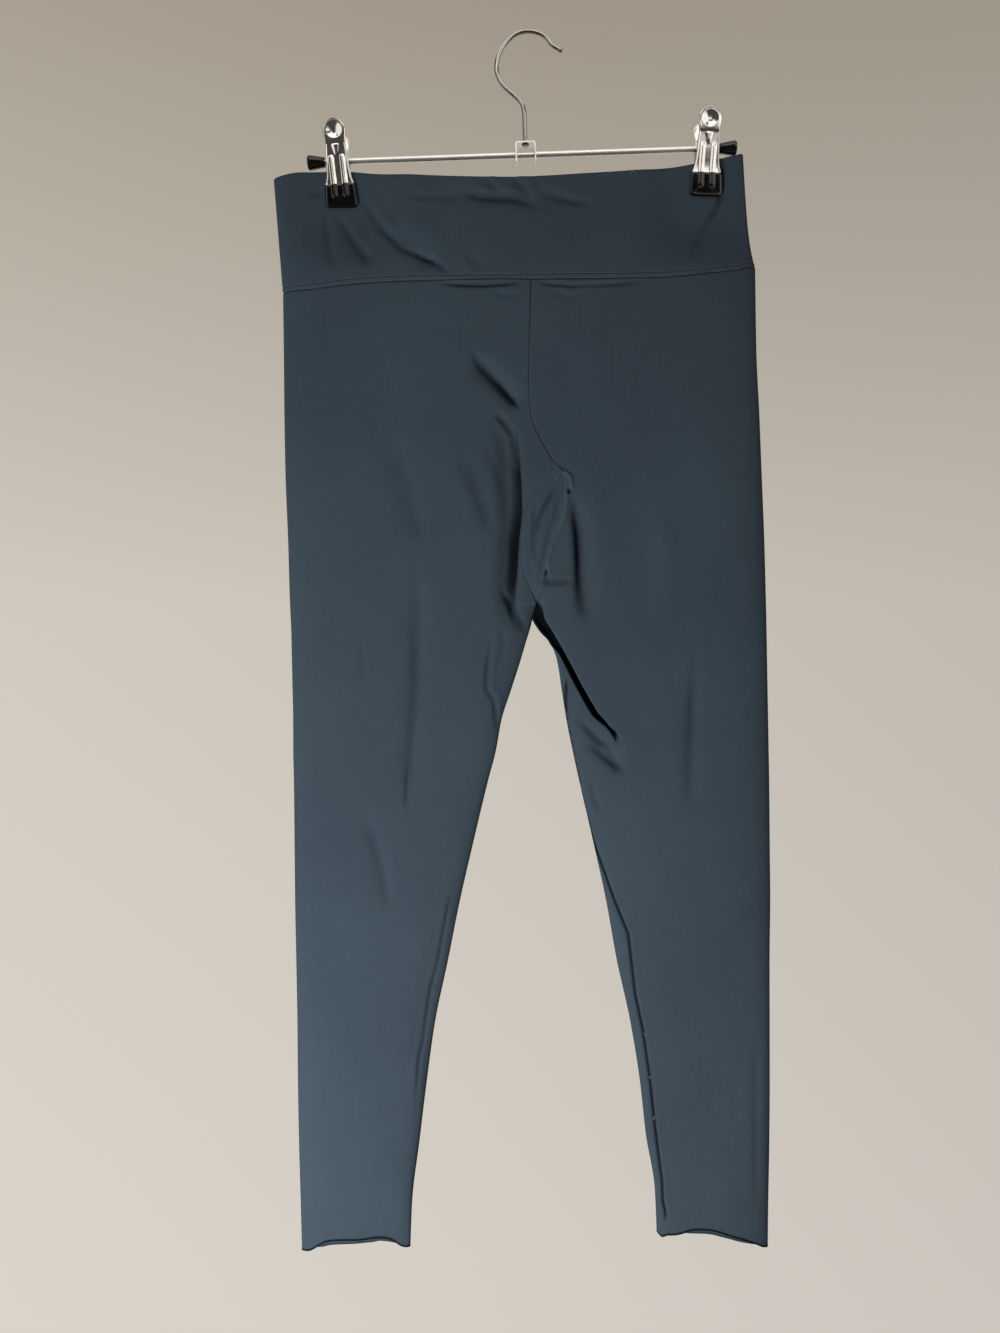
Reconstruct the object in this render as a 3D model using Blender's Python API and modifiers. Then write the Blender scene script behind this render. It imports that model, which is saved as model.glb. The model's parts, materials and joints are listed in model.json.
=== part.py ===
"""Leggings hung flat from a two-clip hanger.

Units are metres, +Z up. The front of the garment faces -Y, and the origin is the inside of the hook's
crown, where a rail or peg carries the whole piece. Heights on the garment are given as a drop below it.

The garment is four pieces of knit cloth, each an open surface with its own thickness: a doubled waistband,
two leg panels that run from the centre seam round the outside of the leg and back to the centre seam, and a
gusset folded from front to back at the crotch. Every section of the cloth is a flat, round-ended tube.
"""

import math

import bmesh
import bpy
import numpy as np
from mathutils import Matrix

MM = 0.001
Z_TO_X = Matrix.Rotation(math.radians(90), 3, "Y")
SEAM_GAP, WAIST_SEAM_GAP = 0.3 * MM, 0.4 * MM

# ---------------------------------------------------------------- garment sizes

LEG_CLOTH = 1.2 * MM
BAND_CLOTH = 2.0 * MM
FORK_DROP = 473.0
APEX_DROP = 366.5
CLOSED_DROP = FORK_DROP + 4.0
SEAM_LEVEL = 208.0
HEM_LEVEL = 1008.0
EDGE_ROUNDING = 0.125
FORK_OPENING, HIP_OPENING = 0.118, 6.0

# One row for each section, in millimetres: where the outer and inner edges of both legs lie, half the depth
# of the tube from front to back, and how far the middle of each leg swings forward (-) or back (+).
SECTION_COLUMNS = (
    "drop",
    "left_outer",
    "left_inner",
    "right_inner",
    "right_outer",
    "depth",
    "left_sway",
    "right_sway",
)
SECTIONS = (
    (194, -203.5, 0.0, 0.0, 188.5, 10.5, 0.0, 0.0),
    (270, -202.5, 0.0, 0.0, 189.5, 11.5, -0.5, -0.5),
    (320, -202.0, 0.0, 0.0, 192.0, 12.0, -0.8, -0.8),
    (370, -201.0, 0.0, 0.0, 194.0, 12.5, -1.0, -1.0),
    (420, -199.0, 0.0, 0.0, 196.0, 12.5, -0.8, -0.9),
    (473, -197.5, 7.0, 10.0, 197.5, 12.5, -0.4, -0.6),
    (495, -196.5, 1.5, 16.0, 198.0, 12.5, -0.2, -0.4),
    (520, -196.0, -6.0, 24.0, 198.5, 12.3, 0.0, -0.2),
    (545, -195.5, -14.0, 28.0, 199.0, 12.0, 0.2, 0.0),
    (570, -195.0, -22.0, 32.0, 199.5, 11.8, 0.4, 0.2),
    (595, -195.0, -26.5, 37.0, 200.0, 11.5, 0.6, 0.4),
    (620, -194.5, -33.0, 42.5, 200.5, 11.2, 0.8, 0.6),
    (670, -194.0, -45.0, 54.0, 201.0, 10.8, 1.0, 0.9),
    (720, -193.5, -56.5, 65.0, 201.5, 10.4, 1.0, 1.2),
    (770, -192.5, -66.5, 74.0, 201.0, 10.0, 0.8, 1.3),
    (820, -191.5, -77.0, 85.0, 201.0, 9.6, 0.5, 1.1),
    (870, -191.0, -84.0, 93.0, 201.0, 9.2, 0.1, 0.8),
    (920, -190.0, -90.0, 98.0, 200.5, 9.0, -0.3, 0.4),
    (970, -188.5, -96.0, 105.0, 199.5, 9.0, -0.6, 0.0),
    (1008, -187.5, -97.5, 109.0, 199.0, 9.0, -0.8, -0.3),
)

# The centre seam, which parts at the apex of the gusset into the gusset's two seams and ends at the fork.
CENTRE_COLUMNS = ("drop", "left_edge", "right_edge")
CENTRE = (
    (194, 1.7, 1.7),
    (250, 0.8, 0.8),
    (294, 0.6, 0.6),
    (318, 1.9, 1.9),
    (330.5, 5.8, 5.8),
    (343.5, 12.2, 12.2),
    (355.5, 18.9, 18.9),
    (366.5, 28.0, 29.2),
    (371.5, 23.4, 33.6),
    (376.5, 16.4, 35.0),
    (381.5, 9.0, 34.0),
    (392, 0.0, 31.6),
    (404, -4.4, 29.2),
    (417, -6.5, 26.0),
    (434, -6.5, 21.0),
    (453, -2.0, 15.5),
    (473, 6.6, 10.0),
)

# The waistband, by its share of the way from the left edge to the right edge.
BAND_COLUMNS = ("across", "top_drop", "seam_drop")
BAND = (
    (0.00, 121.0, 216.0),
    (0.06, 116.5, 215.2),
    (0.15, 115.5, 211.5),
    (0.25, 119.0, 209.3),
    (0.40, 121.9, 208.2),
    (0.50, 122.4, 207.8),
    (0.65, 119.8, 207.2),
    (0.80, 115.3, 206.0),
    (0.90, 108.5, 202.4),
    (0.95, 104.5, 199.6),
    (1.00, 100.2, 194.5),
)
BAND_TOP_LEFT, BAND_TOP_RIGHT = -211.0, 178.5
BAND_FLARE_SHARE, BAND_FLARE_POWER = 0.45, 5.0
BAND_MOUTH_DEPTH = 8.0
CLIP_CENTRES = (-155.0, 147.0)
PINCH_HALF_WIDTH, PINCH_FADE = 17.0, 34.0
PINCH_BOTTOM, PINCH_BOTTOM_FADE = 152.0, 48.0
PINCH_DEPTH = BAND_CLOTH / MM + 0.25

# The cut edge at the hem, by the share of the way from the inseam to the outer edge: how far it draws up.
HEM_COLUMNS = ("across", "left_front", "left_back", "right_front", "right_back")
HEM = (
    (0.00, 2.0, 2.0, 11.5, 11.5),
    (0.18, 7.0, 2.5, 15.0, 11.0),
    (0.35, 11.0, 2.5, 19.5, 10.0),
    (0.60, 9.0, 1.5, 15.0, 6.0),
    (0.85, 2.5, 0.5, 5.5, 2.0),
    (1.00, 0.5, 0.5, 1.5, 1.5),
)

# Soft troughs in the cloth. Each follows a line of (x, drop) points; half_width and depth are in millimetres.
FOLD_COLUMNS = ("line", "half_width", "depth")
FRONT_FOLDS = (
    (((-118, 164), (-96, 180), (-70, 199)), 8, 3.0),
    (((-152, 160), (-140, 178), (-129, 196)), 8, 2.0),
    (((-172, 138), (-166, 165), (-162, 198)), 8, 1.3),
    (((-88, 137), (-45, 139), (0, 141), (50, 140)), 8, 2.2),
    (((160, 140), (153, 156), (136, 184)), 7, 3.0),
    (((-48, 272), (-27, 292), (-5, 314)), 7, 5.0),
    (((-30, 317), (-20, 328), (-13, 345), (-11, 400), (-11, 450), (-7, 478), (-3, 500)), 9, 6.5),
    (((39, 398), (44, 435), (47, 478), (48, 500)), 7, 4.5),
    (((-110, 330), (-101, 378), (-89, 424)), 11, 2.2),
    (((-92, 440), (-91, 540), (-97, 602), (-99, 645)), 8, 2.8),
    (((-136, 640), (-122, 690), (-116, 732)), 8, 1.8),
    (((-68, 728), (-77, 780), (-86, 828), (-93, 860)), 7, 2.2),
    (((46, 572), (60, 589), (72, 602), (76, 616)), 8, 3.0),
    (((138, 540), (138, 575), (136, 605), (136, 650)), 9, 1.5),
    (((-20, 560), (-27, 580), (-31, 610)), 6, 1.6),
)
BACK_FOLDS = (
    (((-100, 150), (-80, 172), (-48, 200)), 8, 2.6),
    (((124, 150), (110, 172), (84, 200)), 8, 2.6),
    (((60, 262), (40, 290), (34, 330), (40, 372)), 9, 3.6),
    (((-36, 300), (-24, 340), (-22, 400), (-14, 470)), 9, 4.2),
    (((52, 400), (56, 450), (50, 500)), 8, 3.6),
    (((104, 420), (112, 520), (120, 600)), 10, 2.2),
    (((-106, 450), (-112, 540), (-120, 640)), 10, 2.4),
    (((-70, 700), (-92, 770), (-108, 840)), 9, 2.0),
    (((96, 700), (118, 760), (128, 840)), 9, 2.0),
)

# The front of the right thigh hangs over the cloth beside the inseam along this line.
FLAP_LINE = ((8, 470), (22, 501), (35, 522), (48, 545), (61, 566), (69, 576), (78, 587))
FLAP_FRONT_LIFT, FLAP_LIFT_REACH, FLAP_EDGE_ROUNDING = 26.0, 34.0, 1.5
FLAP_RECESS, FLAP_STEP, FLAP_REACH = 3.4, 1.4, 24.0
FLAP_COLUMN, FLAP_COLUMN_STEP, FLAP_LEAST_INSET = 4, 2.2, 6.0
FLAP_START, FLAP_FULL, FLAP_RELAX, FLAP_END = 480.0, 506.0, 592.0, 665.0

GUSSET_RELIEF, GUSSET_SAG = 1.6, 2.0

EDGE_CROWDING = 0.72
PANEL_FRONT_COLUMNS, PANEL_BACK_COLUMNS = 19, 13
BAND_FACE_COLUMNS, BAND_ROWS = 30, 7
GUSSET_COLUMNS, GUSSET_ROWS, GUSSET_CROWDING = 6, 11, 1.3
HIP_LEVELS = np.array([208.0, 231.0, 254.0, 277.0, 300.0, 316.0, 330.0, 343.0, 355.0])
THIGH_LEVELS = np.linspace(486, 606, 13)
CALF_LEVELS = np.linspace(634, HEM_LEVEL, 11)
EDGE_SHIFT_REACH = 155.0

# ---------------------------------------------------------------- hanger sizes

HANGER_TILT = math.radians(-2.0)
WIRE = 1.7 * MM
STEM_X = -5.4 * MM
HOOK_BALL_COLUMNS = ("beyond_the_wire", "thickness")
HOOK_BALL = ((3.4, 0.35), (3.0, 0.95), (2.1, 1.3), (1.1, 1.3), (0.3, 1.05))
# Control points of the wire in millimetres, from its tip round the open loop and down the stem.
HOOK_COLUMNS = ("x", "z")
HOOK_BENDS = (
    (24.2, -13.6),
    (19.4, -10.9),
    (16.4, -5.0),
    (9.9, 0.2),
    (0.3, 2.4),
    (-9.6, 0.9),
    (-18.2, -6.0),
    (-24.4, -14.6),
    (-27.4, -24.4),
    (-27.2, -33.2),
    (-23.6, -41.2),
    (-16.0, -49.0),
    (-7.6, -56.0),
    (-5.3, -63.4),
    (-5.4, -72.0),
)
HOOK_STEPS = 3
BAR_Z = -101.0 * MM
BAR_RADIUS = 2.4 * MM
BAR_CENTRE_X = -8.5 * MM
BAR_LENGTH = 346.0 * MM
RUNNING_GAP = 0.3 * MM
STRAP = 1.2 * MM
YOKE_WIDTH, YOKE_DEPTH = 17.0 * MM, 9.0 * MM
YOKE_TOP, YOKE_BOTTOM = 9.8 * MM, -6.8 * MM
COLLAR_RADIUS, COLLAR_HEIGHT = 3.4 * MM, 1.8 * MM
RIVET_RADIUS, RIVET_HEIGHT = 3.1 * MM, 1.4 * MM
CAP_LENGTH, CAP_RADIUS, CAP_NECK, CAP_BORE = 14.5 * MM, 6.1 * MM, 3.9 * MM, 10.0 * MM
CLIP_X = (-161.2 * MM, 144.9 * MM)
CLIP_LEANS = (math.radians(-3.5), math.radians(4.5))
TURNED_SIDES = 20
JAW_SHEET = 1.0 * MM
TIP_TOP, TIP_BOTTOM = -21.8 * MM, -41.7 * MM
TIP_THICKNESS = 3.2 * MM
TIP_WIDTH_TOP, TIP_WIDTH_BOTTOM, TIP_CORNER = 23.5 * MM, 28.0 * MM, 2.5 * MM
SPRING_RADIUS, SPRING_LENGTH = 4.6 * MM, 12.0 * MM

# One row for each level of a jaw, in millimetres from the bar's axis: half its width, how far its face
# stands from the middle plane, and how far its side flanges turn in towards the bar.
JAW_COLUMNS = ("height", "half_width", "stand_off", "flange")
JAW = (
    (-21.4, 11.4, 5.0, 1.5),
    (-16.0, 9.9, 5.6, 2.0),
    (-10.0, 9.0, 6.8, 2.8),
    (-4.0, 8.6, 8.0, 5.0),
    (0.0, 8.5, 8.6, 5.3),
    (4.0, 8.3, 9.2, 5.2),
    (9.0, 7.9, 10.0, 2.8),
    (13.0, 8.2, 10.8, 1.8),
    (17.0, 8.9, 11.4, 1.5),
    (20.5, 8.6, 11.9, 1.4),
    (23.6, 7.2, 12.3, 1.4),
    (25.8, 5.0, 12.5, 1.4),
    (26.8, 2.9, 12.6, 1.4),
)

KNIT_BLUE = (0.058, 0.085, 0.105, 1.0)
STEEL = (0.62, 0.61, 0.60, 1.0)
VINYL = (0.012, 0.013, 0.014, 1.0)


# ---------------------------------------------------------------- small tools


def clear_scene():
    for obj in list(bpy.data.objects):
        bpy.data.objects.remove(obj)


def material(name, colour, roughness, metallic=0.0):
    made = bpy.data.materials.new(name)
    made.use_nodes = True
    shader = made.node_tree.nodes["Principled BSDF"]
    shader.inputs["Base Color"].default_value = colour
    shader.inputs["Roughness"].default_value = roughness
    shader.inputs["Metallic"].default_value = metallic
    return made


def column(table, names, wanted):
    """One named column of a table, as an array."""
    return np.array([row[names.index(wanted)] for row in table], float)


def smooth_through(x, knots, values):
    """A smooth curve through the knots: a cubic between each pair, with slopes that never overshoot."""
    x = np.clip(np.asarray(x, float), knots[0], knots[-1])
    step = np.diff(knots)
    slope = np.diff(values) / step
    before, after = slope[:-1], slope[1:]
    harmonic = 2 * before * after / (before + after + 1e-30)
    tangent = np.concatenate([slope[:1], np.where(before * after > 0, harmonic, 0.0), slope[-1:]])
    i = np.clip(np.searchsorted(knots, x, side="right") - 1, 0, len(step) - 1)
    t = (x - knots[i]) / step[i]
    return (
        values[i] * (1 + 2 * t) * (1 - t) ** 2
        + tangent[i] * step[i] * t * (1 - t) ** 2
        + values[i + 1] * t**2 * (3 - 2 * t)
        + tangent[i + 1] * step[i] * t**2 * (t - 1)
    )


def read_off(table, names, wanted, at):
    """A smooth reading of one column of a table, at places along its first column."""
    return smooth_through(at, column(table, names, names[0]), column(table, names, wanted))


def section(wanted, drop):
    return read_off(SECTIONS, SECTION_COLUMNS, wanted, drop)


def centre(wanted, drop):
    return read_off(CENTRE, CENTRE_COLUMNS, wanted, drop)


def band(wanted, across):
    return read_off(BAND, BAND_COLUMNS, wanted, across)


def ease(x, low, high):
    """0 below low and 1 above high, with a smooth rise between them."""
    t = np.clip((np.asarray(x, float) - low) / (high - low), 0, 1)
    return t * t * (3 - 2 * t)


def along_line(x, drop, line):
    """For each point, its signed distance from the line and its share of the way along it."""
    points = np.array(line, float)
    lengths = np.hypot(*np.diff(points, axis=0).T)
    starts = np.concatenate([[0.0], np.cumsum(lengths)])
    best = np.full(np.shape(x), 1e9)
    signed, share = np.zeros(np.shape(x)), np.zeros(np.shape(x))
    for (ax, ad), (bx, bd), start, length in zip(points[:-1], points[1:], starts, lengths):
        ux, ud = (bx - ax) / length, (bd - ad) / length
        t = np.clip((x - ax) * ux + (drop - ad) * ud, 0, length)
        away = np.hypot(x - ax - t * ux, drop - ad - t * ud)
        side = np.sign((x - ax) * ud - (drop - ad) * ux)
        nearer = away < best
        best = np.where(nearer, away, best)
        signed = np.where(nearer, away * side, signed)
        share = np.where(nearer, (start + t) / starts[-1], share)
    return signed, share


def fold_depth(x, drop, folds):
    """The sum of the soft troughs, each fading out at both ends of its line."""
    total = np.zeros(np.shape(x))
    for line, half_width, depth in folds:
        away, share = along_line(x, drop, line)
        ends = ease(share, 0.0, 0.25) * (1 - ease(share, 0.75, 1.0))
        total += depth * np.exp(-((away / half_width) ** 2)) * ends
    return total


def with_flap(plain, to_outer, to_inner, x, drop):
    """The right leg's front with its flap: full above the line, and tucked close to the back below it."""
    away, share = along_line(x, drop, FLAP_LINE)
    strength = ease(drop, FLAP_START, FLAP_FULL) * (1 - ease(share, 0.78, 1.0))
    nearness = np.exp(-((away / FLAP_LIFT_REACH) ** 2)) * (1 - np.exp(-to_inner / FLAP_EDGE_ROUNDING))
    lift = FLAP_FRONT_LIFT * strength * nearness
    lifted = tube_depth(to_outer, to_inner + lift, drop)
    tucked = np.minimum(plain, FLAP_RECESS)
    below = (0.5 - 0.5 * np.tanh(away / FLAP_STEP)) * np.exp(-np.maximum(-away, 0) / FLAP_REACH)
    return lifted + (tucked - lifted) * below * strength


def flap_shares(share, level, inner, outer):
    """Shares across the right leg's front, with one column drawn onto the flap's line and one each side of it."""
    line = np.array(FLAP_LINE, float)
    inset = np.maximum(smooth_through(level, line[:, 1], line[:, 0]) - inner, FLAP_LEAST_INSET)
    at, step = inset / (outer - inner), FLAP_COLUMN_STEP / (outer - inner)
    near = share[0, FLAP_COLUMN - 1 : FLAP_COLUMN + 2]
    drawn = []
    for a, s in zip(at[:, 0], step[:, 0]):
        drawn.append(np.interp(share[0], [0.0, *near, 1.0], [0.0, a - s, a, a + s, 1.0]))
    weight = ease(level, FLAP_START, FLAP_FULL) * (1 - ease(level, FLAP_RELAX, FLAP_END))
    return share + (np.array(drawn) - share) * weight


# ---------------------------------------------------------------- the garment's form


def edge_openness(drop):
    """How far the tube is still open at its inner edge: wide at the hips, closed below the fork."""
    above = np.clip((FORK_DROP - drop) / (FORK_DROP - SEAM_LEVEL), 0, 1)
    return np.where(drop < CLOSED_DROP - 0.5, FORK_OPENING + HIP_OPENING * above**1.5, 0.0)


def tube_depth(to_outer, to_inner, drop):
    """Half the depth of the flat tube: round at its outer edge, and at its inner edge below the fork."""
    width = np.maximum(to_outer + to_inner, 1.0)
    reach = EDGE_ROUNDING * width
    outer = 1 - np.exp(-to_outer / reach)
    inner = 1 - np.exp(-to_inner / reach - edge_openness(drop))
    return section("depth", drop) * np.sqrt(np.maximum(outer * inner, 0))


def panel_depth(side, x, drop, front):
    """Signed y of the cloth's outer face, in millimetres, for the left (-1) or right (+1) leg."""
    name = "left" if side < 0 else "right"
    outer_edge = section(f"{name}_outer", drop)
    inner_edge = inner_edge_of(side, drop)
    to_outer, to_inner = np.abs(outer_edge - x), np.abs(x - inner_edge)
    depth = tube_depth(to_outer, to_inner, drop)
    if front and side > 0:
        depth = with_flap(depth, to_outer, to_inner, x, drop)
    fullness = depth / section("depth", drop)
    depth = depth - fold_depth(x, drop, FRONT_FOLDS if front else BACK_FOLDS) * fullness**2
    return section(f"{name}_sway", drop) + (-depth if front else depth)


def inner_edge_of(side, drop):
    """The seam or fold where a leg panel ends: the centre seam, the gusset's seam, then the inseam."""
    name = "left" if side < 0 else "right"
    above = centre(f"{name}_edge", drop) + side * seam_clearance(f"{name}_edge", drop)
    below = section(f"{name}_inner", drop)
    return np.where(drop <= FORK_DROP, above, below)


def seam_clearance(name, drop):
    """Half the gap at a seam, measured along X where the seam runs at a slant."""
    slope = centre(name, drop + 0.5) - centre(name, drop - 0.5)
    return 0.5 * SEAM_GAP / MM * np.sqrt(1 + slope**2)


def seam_level_shift(x):
    """How far the waist seam lies below its level at the centre, by x."""
    across = (x - SECTIONS[0][1]) / (SECTIONS[0][4] - SECTIONS[0][1])
    return band("seam_drop", np.clip(across, 0, 1)) - SEAM_LEVEL


def hem_rise(side, across, front):
    name = ("left_" if side < 0 else "right_") + ("front" if front else "back")
    return smooth_through(across, column(HEM, HEM_COLUMNS, "across"), column(HEM, HEM_COLUMNS, name))


def face_shares(count):
    """Shares across a face from its inner edge to its outer edge, closer together near both edges."""
    t = np.linspace(0, 1, count)
    return EDGE_CROWDING * (1 - np.cos(math.pi * t)) / 2 + (1 - EDGE_CROWDING) * t


def panel_levels():
    """Drops of a leg panel's rows: closest together round the gusset and the flap."""
    return np.concatenate([HIP_LEVELS, gusset_levels(), [CLOSED_DROP], THIGH_LEVELS, CALF_LEVELS])


def gusset_levels():
    """Drops of the rows that the gusset shares with the panels, from its apex to the fork."""
    return APEX_DROP + (FORK_DROP - APEX_DROP) * np.linspace(0, 1, GUSSET_ROWS) ** GUSSET_CROWDING


# ---------------------------------------------------------------- cloth pieces


def grid_object(name, points, thickness, paint, closed_round=False):
    """An open grid of points (rows, columns, 3) as a cloth object with its thickness laid inwards."""
    rows, columns = points.shape[:2]
    last = columns if closed_round else columns - 1
    faces = []
    for r in range(rows - 1):
        upper, lower = r * columns, (r + 1) * columns
        for c in range(last):
            beside = (c + 1) % columns
            faces.append((upper + c, lower + c, lower + beside, upper + beside))
    mesh = bpy.data.meshes.new(name)
    mesh.from_pydata((points * MM).reshape(-1, 3).tolist(), [], faces)
    work = bmesh.new()
    work.from_mesh(mesh)
    bmesh.ops.remove_doubles(work, verts=work.verts, dist=1e-6)
    work.to_mesh(mesh)
    work.free()
    mesh.materials.append(paint)
    mesh.shade_smooth()
    obj = bpy.data.objects.new(name, mesh)
    wall = obj.modifiers.new("cloth", "SOLIDIFY")
    wall.thickness = thickness
    wall.offset = -1.0
    wall.use_even_offset = True
    return obj


def leg_panel(side, paint):
    """A leg from the centre seam at the front, round the outer edge, to the centre seam at the back."""
    name = "left" if side < 0 else "right"
    front = face_shares(PANEL_FRONT_COLUMNS)
    back = face_shares(PANEL_BACK_COLUMNS)[::-1][1:]
    share = np.concatenate([front, back])[None, :]
    is_front = np.concatenate([np.ones(len(front), bool), np.zeros(len(back), bool)])[None, :]
    level = panel_levels()[:, None]
    inner, outer = inner_edge_of(side, level), section(f"{name}_outer", level)
    if side > 0:
        drawn = flap_shares(front[None, :], level, inner, outer)
        share = np.concatenate([drawn, np.broadcast_to(back, (len(level), len(back)))], axis=1)
    x = inner + (outer - inner) * share
    y = np.where(is_front, panel_depth(side, x, level, True), panel_depth(side, x, level, False))
    near_top = 1 - ease(level, SEAM_LEVEL, SEAM_LEVEL + EDGE_SHIFT_REACH)
    near_hem = ease(level, HEM_LEVEL - EDGE_SHIFT_REACH, HEM_LEVEL)
    rise = np.where(is_front, hem_rise(side, share, True), hem_rise(side, share, False))
    drop = level + (seam_level_shift(x) + 0.5 * WAIST_SEAM_GAP / MM) * near_top - rise * near_hem
    points = np.stack([x, y, -drop * np.ones_like(x)], axis=-1)
    return grid_object(f"leg_panel_{name}", points if side > 0 else points[:, ::-1], LEG_CLOTH, paint)


def waistband(paint):
    """The doubled band: a ring, pinched flat under each clip, that meets the leg panels at the waist seam."""
    share = face_shares(BAND_FACE_COLUMNS)
    across = np.concatenate([share, share[::-1][1:-1]])[None, :]
    is_front = np.concatenate([np.ones(len(share), bool), np.zeros(len(share) - 2, bool)])[None, :]
    fall = np.linspace(0, 1, BAND_ROWS)[:, None]
    flare = (1 - BAND_FLARE_SHARE) * fall + BAND_FLARE_SHARE * fall**BAND_FLARE_POWER
    left = BAND_TOP_LEFT + (SECTIONS[0][1] - BAND_TOP_LEFT) * fall
    right = BAND_TOP_RIGHT + (SECTIONS[0][4] - BAND_TOP_RIGHT) * flare
    x = left + (right - left) * across
    top, seam = band("top_drop", across), band("seam_drop", across) - 0.5 * WAIST_SEAM_GAP / MM
    drop = top + (seam - top) * fall
    reach = EDGE_ROUNDING * (right - left) / 2
    ends = np.sqrt((1 - np.exp((left - x) / reach)) * (1 - np.exp((x - right) / reach)))
    mouth = BAND_MOUTH_DEPTH + (section("depth", SEAM_LEVEL) - BAND_MOUTH_DEPTH) * ease(fall, 0, 1)
    depth = mouth * ends
    folds = np.where(is_front, fold_depth(x, drop, FRONT_FOLDS), fold_depth(x, drop, BACK_FOLDS))
    depth = depth - folds * (depth / mouth) ** 2
    for clip in CLIP_CENTRES:
        pinch = 1 - ease(np.abs(x - clip), PINCH_HALF_WIDTH, PINCH_HALF_WIDTH + PINCH_FADE)
        pinch = pinch * (1 - ease(drop, PINCH_BOTTOM, PINCH_BOTTOM + PINCH_BOTTOM_FADE))
        depth = depth + (np.minimum(depth, PINCH_DEPTH) - depth) * pinch
    points = np.stack([x, np.where(is_front, -depth, depth), -drop], axis=-1)
    return grid_object("waistband", points, BAND_CLOTH, paint, closed_round=True)


def gusset(paint):
    """A kite from its apex in front, under the fork, to its apex behind, with a little relief."""
    front = gusset_levels()
    level = np.concatenate([front, [FORK_DROP + GUSSET_SAG], front[::-1]])[:, None]
    way = np.concatenate([-np.ones(len(front)), [0.0], np.ones(len(front))])[:, None]
    held = np.minimum(level, FORK_DROP)
    left = centre("left_edge", held) + seam_clearance("left_edge", held)
    right = centre("right_edge", held) - seam_clearance("right_edge", held)
    share = np.linspace(0, 1, GUSSET_COLUMNS)[None, :]
    x = left + (right - left) * share
    depth = section("depth", held) * np.sqrt(1 - np.exp(-edge_openness(held)))
    along = (held - APEX_DROP) / (FORK_DROP - APEX_DROP)
    relief = GUSSET_RELIEF * np.sin(math.pi * share) * np.sin(math.pi * along)
    y = section("left_sway", held) + way * (depth + relief)
    points = np.stack([x, y, -level * np.ones_like(x)], axis=-1)
    return grid_object("gusset", points, LEG_CLOTH, paint)


# ---------------------------------------------------------------- hanger pieces


def arc(radius, start, end, count):
    angle = np.radians(np.linspace(start, end, count))
    return np.stack([radius * np.cos(angle), radius * np.sin(angle)], axis=-1)


def smooth_bends(points, steps):
    """A uniform cubic B-spline through a run of control points, reaching its first and last one."""
    held = np.array([2 * points[0] - points[1], *points, 2 * points[-1] - points[-2]])
    t = np.arange(steps)[:, None] / steps
    weights = ((1 - t) ** 3, 3 * t**3 - 6 * t**2 + 4, -3 * t**3 + 3 * t**2 + 3 * t + 1, t**3)
    runs = [sum(w * held[i + k] for k, w in enumerate(weights)) / 6 for i in range(len(points) - 1)]
    return np.concatenate([*runs, points[-1:]])


def hook(paint):
    """Bent wire: a ball on its turned-out tip, the open loop and the stem, then a collar and a rivet head."""
    line = smooth_bends(np.array(HOOK_BENDS) * MM, HOOK_STEPS)
    outward = (line[0] - line[1]) / np.linalg.norm(line[0] - line[1])
    steps = [(*(line[0] + outward * beyond * MM), thickness) for beyond, thickness in HOOK_BALL]
    steps += [(x, z, 1.0) for x, z in line]
    plate = BAR_Z + YOKE_TOP
    above, below = plate + RUNNING_GAP, plate - STRAP - RUNNING_GAP
    steps += [
        (STEM_X, above + COLLAR_HEIGHT + 0.5 * MM, 1.0),
        (STEM_X, above + COLLAR_HEIGHT, COLLAR_RADIUS / WIRE),
        (STEM_X, above, COLLAR_RADIUS / WIRE),
        (STEM_X, above - 0.02 * MM, 1.0),
        (STEM_X, below + 0.02 * MM, 1.0),
        (STEM_X, below, RIVET_RADIUS / WIRE),
        (STEM_X, below - RIVET_HEIGHT, 0.6 * RIVET_RADIUS / WIRE),
    ]
    data = bpy.data.curves.new("hook", "CURVE")
    data.dimensions = "3D"
    data.bevel_depth = WIRE
    data.bevel_resolution = 3
    data.use_fill_caps = True
    spline = data.splines.new("POLY")
    spline.points.add(len(steps) - 1)
    for point, (x, z, thickness) in zip(spline.points, steps):
        point.co = (x, 0, z, 1)
        point.radius = thickness
    data.materials.append(paint)
    return bpy.data.objects.new("hook", data)


def round_bar(name, radius, length, at, along, sides=TURNED_SIDES):
    """A plain cylinder whose axis lies along "X" or "Z"."""
    work = bmesh.new()
    bmesh.ops.create_cone(work, cap_ends=True, segments=sides, radius1=radius, radius2=radius, depth=length)
    if along == "X":
        bmesh.ops.rotate(work, verts=work.verts, cent=(0, 0, 0), matrix=Z_TO_X)
    bmesh.ops.translate(work, verts=work.verts, vec=at)
    mesh = bpy.data.meshes.new(name)
    work.to_mesh(mesh)
    work.free()
    return bpy.data.objects.new(name, mesh)


def drill(obj, cutters, radius, length, at, along):
    """Cuts a round hole through an object, with its cutter kept in the cutters' collection."""
    tool = round_bar(f"drill_{obj.name}_{along}", radius, length, at, along, sides=24)
    tool.hide_render = True
    tool.display_type = "WIRE"
    cutters.objects.link(tool)
    cut = obj.modifiers.new(f"hole_{along}", "BOOLEAN")
    cut.operation = "DIFFERENCE"
    cut.object = tool


def strip_object(name, outline, depth, thickness, paint):
    """A bent strap: an outline of (x, z) points drawn out along Y, with its thickness laid to one side."""
    verts = [(x, y, z) for x, z in outline for y in (-depth / 2, depth / 2)]
    faces = [(2 * i, 2 * i + 2, 2 * i + 3, 2 * i + 1) for i in range(len(outline) - 1)]
    mesh = bpy.data.meshes.new(name)
    mesh.from_pydata(verts, [], faces)
    mesh.materials.append(paint)
    obj = bpy.data.objects.new(name, mesh)
    wall = obj.modifiers.new("sheet", "SOLIDIFY")
    wall.thickness = thickness
    wall.offset = -1.0
    wall.use_even_offset = True
    return obj


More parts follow.
